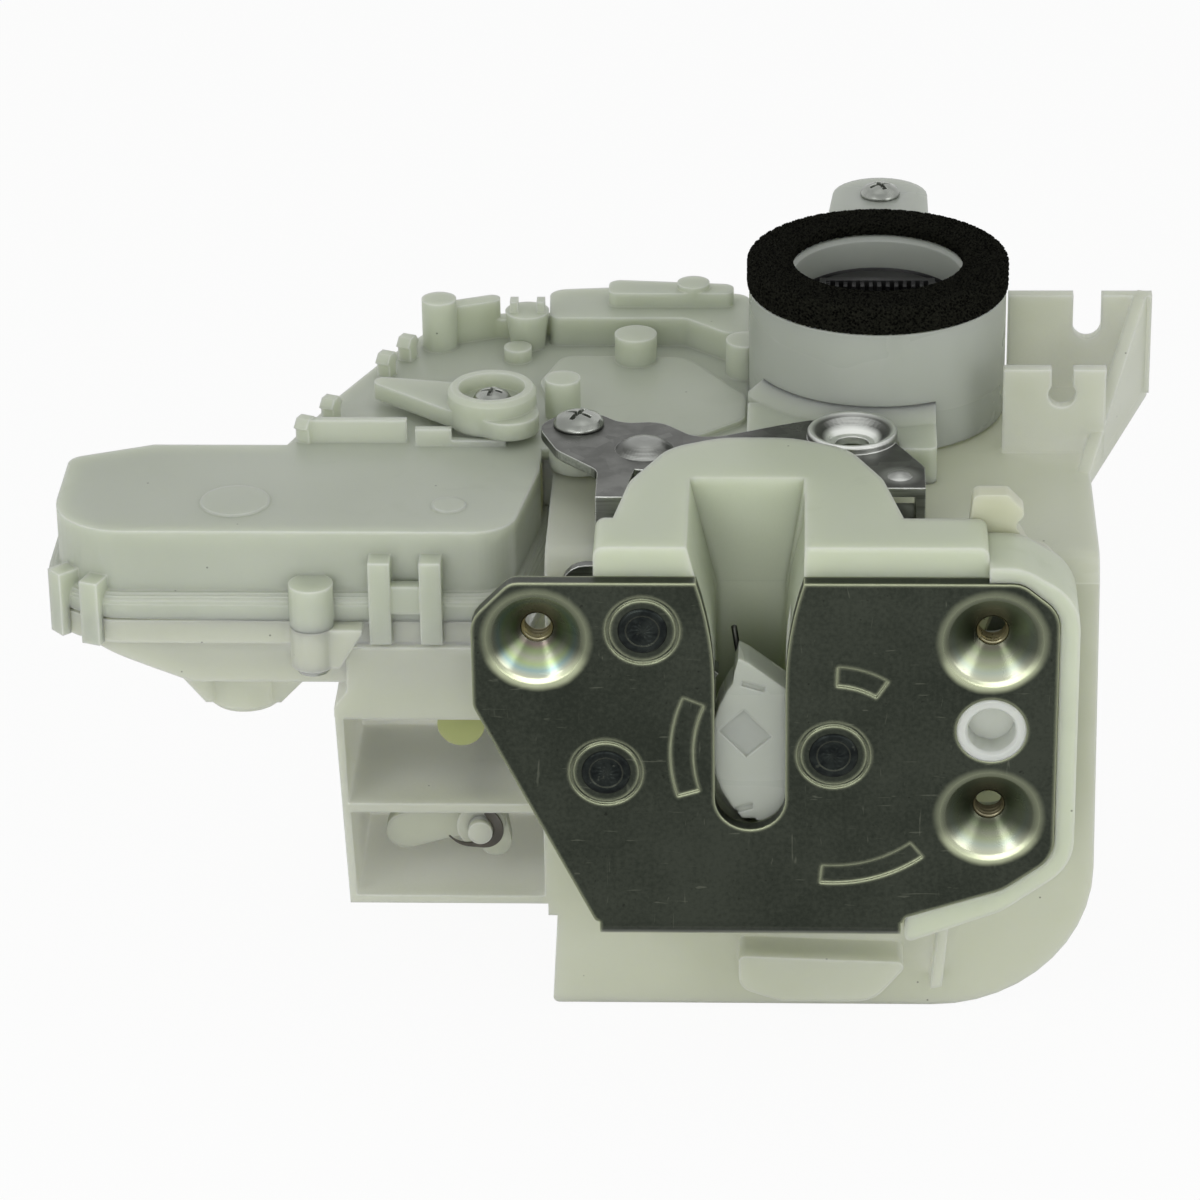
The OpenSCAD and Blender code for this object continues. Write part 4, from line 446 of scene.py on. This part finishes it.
def chromatedSteel():
    # Dark satin olive plate, fine rolling lines, bright worn edges, cones with interference colours, painted
    # shade in their upper halves and holes, painted highlights on their lips and along the plate's lower edge
    look = chromateLook
    p = newPaint("chromatedSteel")
    cloud = p.noise(look["cloud"], 5, 0.62)
    rolled = p.noise(look["rolled"], 3, 0.6, stretch=(2, 1, 50))
    mottle = p.noise(look["mottle"], 3, 0.62)
    upright, level = [p.between(p.noise(scale, 2, 0.4, stretch, curl), start, start + 0.06)
                      for scale, stretch, curl, start in look["hair"]]
    hair = upright + level
    pit = p.between(p.noise(look["pit"], 2, 0.6), 0.66, 0.75)
    flat = p.mixed(p.between(cloud * 0.55 + mottle * 0.45, 0.36, 0.64), look["olive"], look["pale"])
    flat = p.mixed(pit * 0.6, flat, look["rust"])
    flat = p.mixed(hair * 0.07, flat, look["cone"])
    # The cones: bands of colour by the distance from each hole, plainer to the right
    reach = p.farFrom(fixingHoles, 1) + (cloud - 0.5) * 1.8
    # The ramp runs from painted shade at the hole, through interference colours, to a painted highlight at the
    # lip
    hue = p.banded(reach * (1 / look["coneRadius"]), [
        (0.0, look["paintedShade"]), (0.34, look["rose"]), (0.44, look["green"]), (0.56, look["cone"]),
        (0.66, look["green"]), (0.76, look["blue"]), (0.86, look["cone"]), (1.0, look["edge"])])
    plain = p.mixed(p.between(reach, 2.6, 7.6), look["shade"], look["cone"])
    side, height = p.split(p.place, 0), p.split(p.place, 2)
    hue = p.mixed(p.between(side, -0.02, 0.02, 0.15, 0.72), hue, plain)
    # Their upper halves are darkened with painted shade; local is the height in millimetres over the row's
    # centre
    local = height * (1 / mm) - (p.between(height, *look["parting"]) * look["rowStep"] - look["lowRow"])
    paintedShade = p.between(local + (cloud - 0.5) * 5, -6.6, -1.6)
    hue = p.mixed(paintedShade * 0.9, hue, look["paintedShade"])
    inside = p.between(reach, look["coneRadius"] - 0.9, look["coneRadius"] + 0.9, 1.0, 0.0)
    tone = p.mixed(inside, flat, hue)
    # Painted highlight round each cone's lip, weaker on the painted shade of the upper half
    paintedLipHighlight = p.between(reach, 6.7, 7.9) * p.between(reach, 8.0, 9.3, 1.0, 0.0)
    tone = p.mixed(paintedLipHighlight * p.between(paintedShade, 0.0, 1.0, 0.75, 0.22), tone, look["edge"])
    # Painted highlight: the plate's lower edge lightened
    tone = p.mixed(p.between(height + cloud * mm, *look["paintedHemHighlight"], 0.42, 0.0), tone, look["edge"])
    tone = p.mixed(p.rim(1.1, 0.88, 0.9995) * 0.42, tone, look["edge"])
    return p.close(
        Base_Color=p.mixed(p.rim(0.42, 0.80, 0.992) * 0.8, tone, look["edge"]), Metallic=1.0,
        Roughness=p.between(cloud, 0.3, 0.7, 0.30, 0.42) + hair * 0.08 - inside * 0.10,
        Normal=p.relief(rolled * 0.25 + mottle * 0.35 - hair * 0.3 - pit * 0.4, 0.025, 0.6, 0.45))


rivetLook = dict(base=(0.022, 0.026, 0.024), shade=(0.010, 0.012, 0.012), bright=(0.30, 0.32, 0.24), smudge=420,
                 struck=900)


def darkRivetSteel():
    # Hardened rivet: blue black, with bright bruises where the tool struck
    look = rivetLook
    p = newPaint("darkRivetSteel")
    smudge = p.noise(look["smudge"], 4, 0.65)
    struck = p.between(p.noise(look["struck"], 3, 0.6), 0.62, 0.74)
    tone = p.mixed(p.between(smudge, 0.35, 0.65), look["base"], look["shade"])
    return p.close(
        Base_Color=p.mixed(p.rim(0.22) * 0.18 + struck * 0.10, tone, look["bright"]), Metallic=1.0,
        Roughness=p.between(smudge, 0.3, 0.7, 0.26, 0.46), Normal=p.relief(struck + smudge, 0.03, 0.8, 0.2))


foamLook = dict(pit=(0.0008, 0.0008, 0.0005), wall=(0.0150, 0.0152, 0.0110), cells=1900, fineCells=4300,
                clouds=240)


def rubberFoam():
    # Open cells of three sizes, hardly lighter at their walls
    look = foamLook
    p = newPaint("openFoam")
    wall = p.between(p.cells(look["cells"]), 0.12, 0.60)
    fine = p.between(p.cells(look["fineCells"]), 0.12, 0.55)
    wide = p.noise(look["clouds"], 3, 0.6)
    tone = p.mixed(p.between(wall * 0.5 + fine * 0.3 + wide * 0.4, 0.45, 1.05), look["pit"], look["wall"])
    return p.close(Base_Color=tone, Roughness=0.95, Specular_IOR_Level=0.05,
                   Normal=p.relief(wall + fine * 0.5 + wide, 0.30, 1.0))


darkLook = {
    "black": dict(called="blackMoulding", base=(0.006, 0.006, 0.006), rough=0.38),
    "rubber": dict(called="softRubber", base=(0.012, 0.012, 0.010), rough=0.62),
    "leaf": dict(called="oiledLeaf", base=(0.028, 0.024, 0.016), rough=0.36),
}


def darkPlastic(name):
    # Dark surface with a fine spark eroded grain and paler smudges and edges
    look = darkLook[name]
    p = newPaint(look["called"])
    grain = p.noise(1800, 3, 0.6)
    smudge = p.noise(140, 3, 0.5)
    pale = tuple(c * 1.9 + 0.01 for c in look["base"])
    tone = p.mixed(p.between(smudge, 0.35, 0.7), look["base"], pale)
    return p.close(Base_Color=p.mixed(p.rim(0.25) * 0.35, tone, tuple(3 * c for c in pale)),
                   Roughness=p.between(smudge, 0.3, 0.7, look["rough"], look["rough"] + 0.12),
                   Normal=p.relief(grain, 0.03, 0.5, 0.15))


finishes = {
    "chromated": chromatedSteel(),
    "galvanised": galvanisedSteel(),
    "zinc": zincSheet(),
    "rivet": darkRivetSteel(),
    "foam": rubberFoam(),
}
for paint, looks in ((darkPlastic, darkLook), (plastic, plasticLook), (metal, metalLook)):
    finishes.update({key: paint(key) for key in looks})

worn = {
    "latch_plate": "chromated", "locator_bush": "bush", "latch_housing": "housing",
    "back_plate": "galvanised", "claw_core": "core", "claw_jacket": "claw", "claw_spring": "spring",
    "pawl": "core", "pawl_lifter": "zinc", "pawl_spring": "spring", "claw_pivot": "rivet",
    "pawl_pivot": "rivet", "spacer_rivet": "rivet", "striker_bumper": "rubber",
    "outer_release_lever": "zinc", "rod_clip": "yellowed", "release_pivot": "rivet",
    "base_housing": "natural", "module_cover": "cover", "connector_shroud": "shroud",
    "foam_gasket": "foam", "connector_body": "black", "connector_pins": "brass",
    "lock_lever": "cover", "lock_screw": "screw", "lock_crank": "gear", "lock_slide": "gear",
    "worm_wheel": "gear", "wheel_axle": "core", "worm": "brass", "motor_can": "zinc",
    "motor_cap": "bush", "inner_release_lever": "natural", "inner_pivot": "natural",
    "pivot_clip": "leaf", "stop_bumper": "stop", "bracket_screws": "screw",
    "case_screws": "screw", "shroud_screw": "screw",
}
for name, node in nodes.items():
    node.data.materials.clear()
    node.data.materials.append(finishes[worn[name]])
print("stage: finishes on", len(worn), "nodes")


# Foam ring on the connector port

foam = dict(centre=(20.7, 80.2), hole=14.2, outer=22.0, rim=16.6, rimTop=57.7, low=54.7, high=60.0,
            corner=0.9, spacing=0.19, around=640, pore=0.36)


def looped(corners, radius, steps=6):
    # A closed outline in millimetres whose corners are small arcs of points
    return softened(corners[-1:] + corners + corners[:1], radius, steps)[1:-1]


def alongLoop(outline, spacing):
    # The same closed outline with points spread evenly along its length
    ring = np.concatenate([outline, outline[:1]])
    walk = np.concatenate([[0], np.cumsum(np.linalg.norm(np.diff(ring, axis=0), axis=1))])
    t = np.linspace(0, walk[-1], int(walk[-1] / spacing), endpoint=False)
    return np.stack([np.interp(t, walk, ring[:, 0]), np.interp(t, walk, ring[:, 1])], 1)


def foamRing():
    # An L shaped section that laps over the tube's rim, carried round a circle; every point is
    # pushed inwards along its normal by a sum of sines, which makes the torn open cells
    f = foam
    section = looped([(f["rim"], f["low"]), (f["outer"], f["low"]), (f["outer"], f["high"]),
                      (f["hole"], f["high"]), (f["hole"], f["rimTop"]), (f["rim"], f["rimTop"])], f["corner"])
    section = alongLoop(section, f["spacing"])
    ahead = np.roll(section, -1, 0) - np.roll(section, 1, 0)
    ahead /= np.linalg.norm(ahead, axis=1, keepdims=True)
    out = np.stack([ahead[:, 1], -ahead[:, 0]], 1)
    a = np.linspace(0, turn, f["around"], endpoint=False)[:, None]
    across, along = section[:, 0], section[:, 1]
    torn = (np.sin(a * 97 + along * 7.1) * np.sin(a * 41 - across * 9.3 + 1.7)
            + 0.6 * np.sin(a * 211 + along * 13.3 + across * 11.9)
            + 0.5 * np.sin(a * 23 + across * 5.0) * np.sin(a * 307 - along * 8.0))
    dent = -f["pore"] * (0.5 + 0.5 * np.tanh(torn * 1.6))
    wide = across + dent * out[:, 0]
    tall = along + dent * out[:, 1]
    grid = np.stack([f["centre"][0] + wide * np.cos(a), f["centre"][1] + wide * np.sin(a), tall], -1)
    return sheetOf("foamRing", grid * mm, finishes["foam"], "case", ["foam_gasket"], True, True, True)


foamRing()
print("stage: foam ring")


# Black insert of the connector port

insert = dict(centre=(20.7, 80.2), radius=13.98, top=52.2, trough=51.2, troughWidth=1.4, edge=0.5,
              rimWidth=0.2, bevel=0.3, box=(9.8, 6.4), wall=1.2, boxTop=53.4, bayFloor=0.2, teeth=12,
              toothTop=53.0, toothDeep=1.7)


def portInsert():
    # Height over a disc: a plate, a lower ring, the plug's box as a raised frame round a deep bay,
    # and square teeth along the bay's far side; closed by a side and a floor
    f = insert
    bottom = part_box("connector_body")[0][2] / mm
    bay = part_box("connector_pins")[0][2] / mm + f["bayFloor"]
    r = np.linspace(0, f["radius"] - f["edge"], 140)
    r = np.concatenate([r, [f["radius"] - f["rimWidth"], f["radius"]]])[:, None]
    a = np.linspace(0, turn, 420, endpoint=False)[None, :]
    x, y = r * np.cos(a), r * np.sin(a)
    inside = [f["box"][i] - f["wall"] for i in (0, 1)]
    inBox = (np.abs(x) < f["box"][0]) & (np.abs(y) < f["box"][1])
    inBay = (np.abs(x) < inside[0]) & (np.abs(y) < inside[1])
    step = 2 * inside[0] / f["teeth"]
    inTooth = inBay & (y > inside[1] - f["toothDeep"]) & (((x / step) % 1.0) < 0.5)
    z = np.where(r < f["radius"] - f["troughWidth"], f["top"], f["trough"]) + 0 * a
    z = np.where(inBox, f["boxTop"], z)
    z = np.where(inBay, bay, z)
    z = np.where(inTooth, f["toothTop"], z)
    z[-2:] = np.array([[f["top"]], [f["top"] - f["bevel"]]])
    lower = np.array([[f["radius"], bottom], [0.0, bottom]])
    x = np.concatenate([x, lower[:, :1] * np.cos(a)])
    y = np.concatenate([y, lower[:, :1] * np.sin(a)])
    z = np.concatenate([z, lower[:, 1:] + 0 * a])
    grid = np.stack([f["centre"][0] + x, f["centre"][1] + y, z], -1)
    piece = sheetOf("portInsert", grid * mm, finishes["black"], "case", ["connector_body"], ringV=True)
    piece.data.polygons.foreach_set("use_smooth", np.zeros(len(piece.data.polygons), dtype=bool))


portInsert()
print("stage: port insert")


# Threads in the three fixing holes

thread = dict(start=4.2, end=8.4, pitch=1.0, outer=2.49, depth=0.38, crest=1.3, fade=0.5)


def threadSleeve(name, at):
    # Radius over (turn angle, length): a triangle wave that climbs one pitch for each turn
    f = thread
    a = np.linspace(0, turn, 72, endpoint=False)[None, :]
    y = np.linspace(f["start"], f["end"], 74)[:, None]
    phase = (y / f["pitch"] + a / turn) % 1.0
    ridge = f["depth"] * (1 - np.abs(2 * phase - 1)) ** f["crest"]
    r = f["outer"] - ridge * np.clip(np.minimum(y - f["start"], f["end"] - y) / f["fade"], 0, 1)
    grid = np.stack([at[0] + r * np.cos(a), y + 0 * a, at[1] + r * np.sin(a)], -1)
    return sheetOf(name, grid * mm, finishes["thread"], "case", ringV=True)


for i, at in enumerate(fixingHoles):
    threadSleeve("screwThread%d" % (i + 1), at)
print("stage: threads")


# Coined rivets

rivetForm = dict(head=3.9, lip=0.25, field=3.3, fieldOut=0.20, shank=3.0, foot=1.2, marks=9, press=0.035)
rivets = {
    "clawRivet": dict(at=(13.2, 7.9), end=15.0, tail=4.0, node="claw_pivot"),
    "pawlRivet": dict(at=(-22.8, 4.7), end=17.6, tail=4.0, node="pawl_pivot"),
    "spacerStud": dict(at=(-16.8, 29.8), end=11.0, tail=0.0, node="spacer_rivet"),
}


def rivet(name, look):
    # Turned stud: a flat field inside a slight lip, and pressed marks, the tanh of two crossed sines
    f, end = rivetForm, look["end"]
    inner = np.stack([np.linspace(0, f["field"] - 0.6, 14), np.full(14, -f["fieldOut"])], 1)
    head = softened([(0, -f["fieldOut"]), (f["field"] - 0.5, -f["fieldOut"] - 0.01), (f["field"], -f["lip"]),
                     (f["head"] - 0.3, -f["lip"] + 0.02), (f["head"], 0.0), (f["head"], 0.02),
                     (f["shank"], 0.02), (f["shank"], end)], 0.35)
    if look["tail"]:
        tail = softened([(f["shank"], end + 0.01), (look["tail"], end + 0.02),
                         (look["tail"] - 0.4, end + f["foot"] - 0.02), (0, end + f["foot"])], 0.3)
    else:
        tail = softened([(f["shank"], end - 0.4), (f["shank"] - 0.4, end), (0, end)], 0.2)
    shift = 0.6 * len(name)

    def pressed(r, a):
        cut = np.sin(f["marks"] * a + 5 * r + shift) * np.sin(4 * a - 2.6 * r + shift)
        return f["press"] * np.tanh(2.4 * cut) * np.clip(r / 0.8, 0, 1) * np.clip((2.6 - r) / 0.6, 0, 1)

    return turnedOf(name, np.concatenate([inner, head[1:], tail]), (look["at"][0], 0, look["at"][1]), (0, 1, 0),
                    finishes["rivet"], "case", [look["node"]], pressed)


for name, look in rivets.items():
    rivet(name, look)
print("stage: rivets")


# Springs

springs = {
    "clawCoil": dict(at=(13.2, 7.9), start=9.62, turns=2.6, pitch=1.0, radius=4.5, wire=0.48,
                     leg=((-1.9, 21.0), (-2.6, 25.8)), bend=1.2, body="claw", node="claw_spring"),
    "pawlCoil": dict(at=(-22.8, 4.7), start=9.0, turns=3.2, pitch=0.94, radius=4.5, wire=0.46,
                     leg=None, leave=2.2, body="case", node="pawl_spring"),
}
coilSteps = 40       # points of the path in one turn


def springOf(name, look):
    # A helix round an axis along Y, run out on a tangent to the leg's knee, and bent there
    turns, r = look["turns"], look["radius"]
    if look["leg"]:
        d = np.array(look["leg"][0]) - np.array(look["at"])
        leave = math.atan2(d[1], d[0]) + math.acos(r / np.linalg.norm(d))
    else:
        leave = look["leave"]
    a = leave - np.linspace(0, turns * turn, int(turns * coilSteps))[::-1]
    y = look["start"] + (leave - a) / turn * look["pitch"]
    path = np.stack([look["at"][0] + r * np.cos(a), y, look["at"][1] + r * np.sin(a)], 1)
    if look["leg"]:
        leg = softened([path[-1, [0, 2]], *look["leg"]], look["bend"])[1:]
        path = np.concatenate([path, np.insert(leg, 1, look["start"], axis=1)])
    coil = wireOf(name, path * mm, look["wire"] * mm, finishes["spring"], look["body"], [look["node"]])
    if look["leg"]:
        # The coil gets its own copy of its mesh
        look["at"][0] * mm
        look["start"] * mm
        look["at"][1] * mm
        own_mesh(coil)
    return coil


for name, look in springs.items():
    springOf(name, look)
print("stage: springs")


# Cross recessed screws

screws = {
    "bracketScrew": dict(at=(-28.7, 53.4, 41.0), head=4.2, tall=2.2, shaft=2.08, depth=7.0, twist=0.5,
                         body="case", node="bracket_screws"),
    "portScrew": dict(at=(21.5, 113.8, 57.6), head=3.4, tall=2.1, shaft=1.68, depth=12.0, twist=1.1,
                      body="case", node="shroud_screw"),
    "leverScrew": dict(at=(-43.6, 63.5, 40.8), head=3.2, tall=2.0, shaft=1.58, depth=9.0, twist=0.2,
                       body="lock", node="lock_screw"),
    "podScrew": dict(at=(-70.6, 19.4, 14.0), head=3.0, tall=1.9, shaft=1.48, depth=11.5, twist=0.8,
                     body="case", node="case_screws", up=-1),
}
# crown, drop, rim, armReach and limit are shares of the head's radius or height
screwForm = dict(crown=0.86, drop=0.58, curve=2.4, rim=0.22, softRim=0.35, ridge=0.16, pitch=1.2, runIn=1.5,
                 point=1.4, blunt=0.25, arm=0.46, armSoft=0.14, armReach=0.58, reachSoft=0.20, recess=1.1,
                 rise=0.7, limit=0.8)


def screw(name, look):
    # A pan head turned round Z; the height drops inside a cross that narrows with depth
    f, h = screwForm, look["head"]
    crown = np.linspace(0, f["crown"], 84)
    top = np.stack([crown * h, look["tall"] * (1 - f["drop"] * crown ** f["curve"])], 1)
    rim = softened([top[-1], (h, look["tall"] * f["rim"]), (h, 0.0), (look["shaft"], 0.0)], f["softRim"])
    down = np.linspace(0, look["depth"], 90)[1:]
    ridge = f["ridge"] * (1 + np.cos(down * turn / f["pitch"])) * np.clip(down / f["runIn"], 0, 1)
    taper = np.clip((look["depth"] - down) / f["point"] + f["blunt"], 0, 1)
    shaft = np.stack([(look["shaft"] - ridge) * taper, -down], 1)
    profile = np.concatenate([top, rim[1:], shaft, [[0, -look["depth"]]]])

    def cross(r, a):
        u, v = r * np.cos(a + look["twist"]), r * np.sin(a + look["twist"])
        arm = np.minimum(np.abs(u), np.abs(v))
        reach = np.maximum(np.abs(u), np.abs(v))
        inside = (np.clip((f["arm"] - arm) / f["armSoft"], 0, 1)
                  * np.clip((h * f["armReach"] - reach) / f["reachSoft"], 0, 1))
        return -inside * (f["recess"] - f["rise"] * reach / h) * (r < h * f["limit"])

    return turnedOf(name, profile, look["at"], (0, 0, look.get("up", 1)), finishes["screw"], look["body"],
                    [look["node"]], cross, steps=288)


for name, look in screws.items():
    screw(name, look)
print("stage: screws")


# Bowed clip on the inner lever's pin

leaf = dict(centre=(-44.5, -17.6), seat=21.62, radius=2.95, half=0.85, thick=0.25, bow=0.34,
            start=-172, spread=-96, end=78, tongue=2.3, flare=1.6, dip=0.5, square=0.35)


def bowedClip():
    # Centre line over the angle a: a circle that runs out in a spiral tongue, bowed along Y with the
    # cosine of 2a; its rounded section narrows to a point at both ends
    f = leaf
    a = np.radians(np.linspace(f["start"], f["end"], 150))[:, None]
    t = np.linspace(0, 1, len(a))[:, None]
    run = np.clip((math.radians(f["spread"]) - a) / math.radians(f["spread"] - f["start"]), 0, 1)
    radius = f["radius"] + f["tongue"] * run ** f["flare"]
    narrow = np.clip(t / 0.42, 0.12, 1) ** 0.8 * np.clip((1 - t) / 0.10, 0.15, 1) ** 0.5
    narrow[[0, -1]] = 0.0
    v = np.linspace(0, turn, 28, endpoint=False)[None, :]
    across = np.sign(np.cos(v)) * np.abs(np.cos(v)) ** f["square"] * f["half"] * narrow
    along = np.sign(np.sin(v)) * np.abs(np.sin(v)) ** f["square"] * f["thick"] * np.clip(narrow * 3, 0, 1)
    y = f["seat"] - f["bow"] * np.cos(2 * a) - f["dip"] * run + along
    x = f["centre"][0] + (radius + across) * np.cos(a)
    z = f["centre"][1] + (radius + across) * np.sin(a)
    return sheetOf("bowedClip", np.stack([x, y, z], -1) * mm, finishes["leaf"], "case", ["pivot_clip"],
                   ringV=True)


bowedClip()
print("stage: bowed clip")


# Floor, light and camera, in metres

studio = dict(floor=-0.0496, span=6.0, floorTone=(0.90, 0.90, 0.88), air=(0.98, 1.0, 0.99), airLevel=0.55,
              white=0.93, aim=(-0.02, 0.04, 0.02))
plainWhite = {"Color": (1, 1, 1, 1), "Strength": 1.0}


def backgroundRays(p):
    # 1 for rays that show the background: straight to the eye, off gloss, or through clear plastic
    seen = None
    for kind in ("Is Camera Ray", "Is Glossy Ray", "Is Transmission Ray"):
        ray = p.add("ShaderNodeLightPath", out=kind)
        seen = ray if seen is None else seen.joined("MAXIMUM", seen, ray)
    return seen


def floorPaint():
    # Pale floor that keeps the object's shadow under a plain white
    p = newPaint("studioFloor")
    shadow = p.add("ShaderNodeBsdfDiffuse", {}, {"Color": rgba(studio["floorTone"])})
    white = p.add("ShaderNodeEmission", {}, plainWhite)
    p.add("ShaderNodeOutputMaterial", {}, {"Surface": p.add(
        "ShaderNodeMixShader", {}, {0: backgroundRays(p) * studio["white"], 1: shadow, 2: white})})
    return p.owner


def floorSheet():
    # A flat square, one quad
    s, z = studio["span"], studio["floor"]
    mesh = bpy.data.meshes.new("studioFloor")
    mesh.from_pydata([(-s, -s, z), (s, -s, z), (s, s, z), (-s, s, z)], [], [(0, 1, 2, 3)])
    mesh.materials.append(floorPaint())
    floor = bpy.data.objects.new("studioFloor", mesh)
    bpy.context.scene.collection.objects.link(floor)


def backdrop():
    # Plain light from all round, and white where the background shows
    world = bpy.data.worlds.new("studioWorld")
    bpy.context.scene.world = world
    p = Paint(world)
    soft = p.add("ShaderNodeBackground", {}, {"Color": rgba(studio["air"]), "Strength": studio["airLevel"]})
    white = p.add("ShaderNodeBackground", {}, plainWhite)
    p.add("ShaderNodeOutputWorld", {}, {"Surface": p.add(
        "ShaderNodeMixShader", {}, {0: backgroundRays(p), 1: soft, 2: white})})


lamps = {
    "frontLamp": dict(at=(-0.06, -0.68, 0.05), size=0.60, power=2.35),
    "keyLamp": dict(at=(-0.34, -0.40, 0.36), size=0.24, power=0.45),
    "sideLamp": dict(at=(0.50, -0.34, 0.22), size=0.34, power=0.55),
    "topLamp": dict(at=(0.02, 0.20, 0.70), size=0.36, power=0.20),
}


def light(name, look):
    # A round lamp whose -Z looks at the middle of the object
    data = bpy.data.lights.new(name, "AREA")
    data.shape, data.size, data.energy = "DISK", look["size"], look["power"]
    lamp = bpy.data.objects.new(name, data)
    bpy.context.scene.collection.objects.link(lamp)
    lamp.location = look["at"]
    lamp.rotation_mode = "QUATERNION"
    lamp.rotation_quaternion = (Vector(studio["aim"]) - Vector(look["at"])).to_track_quat("-Z", "Y")


# Angles in degrees; focal length, image and originAt, where the slot's centre falls, in pixels;
# sensor in millimetres and clip in metres
view = dict(azimuth=2.5, elevation=26.3, roll=0.9, focal=5000.0, pixelsPerMm=6.3, image=1200.0,
            originAt=(750.0, 799.0), sensor=36.0, clip=(0.05, 20.0))


def photoCamera():
    # The camera that puts the slot's centre on its pixel at the measured scale
    az, el, roll = (math.radians(view[k]) for k in ("azimuth", "elevation", "roll"))
    back = np.array([math.sin(az) * math.cos(el), -math.cos(az) * math.cos(el), math.sin(el)])
    level = np.array([math.cos(az), math.sin(az), 0.0])
    above = np.cross(back, level)
    right = level * math.cos(roll) - above * math.sin(roll)
    up = above * math.cos(roll) + level * math.sin(roll)
    away = view["focal"] / view["pixelsPerMm"]
    half = view["image"] / 2
    across = (view["originAt"][0] - half) / view["focal"] * away
    rise = -(view["originAt"][1] - half) / view["focal"] * away
    centre = (back * away - right * across - up * rise) * mm
    data = bpy.data.cameras.new("photoCamera")
    data.sensor_width = view["sensor"]
    data.lens = view["sensor"] * view["focal"] / view["image"]
    data.clip_start, data.clip_end = view["clip"]
    camera = bpy.data.objects.new("photoCamera", data)
    bpy.context.scene.collection.objects.link(camera)
    camera.matrix_world = Matrix([[right[i], up[i], back[i], centre[i]] for i in range(3)] + [[0, 0, 0, 1]])
    bpy.context.scene.camera = camera


floorSheet()
backdrop()
for name, look in lamps.items():
    light(name, look)
photoCamera()
bpy.context.scene.view_settings.view_transform = "Standard"
print("stage: studio")
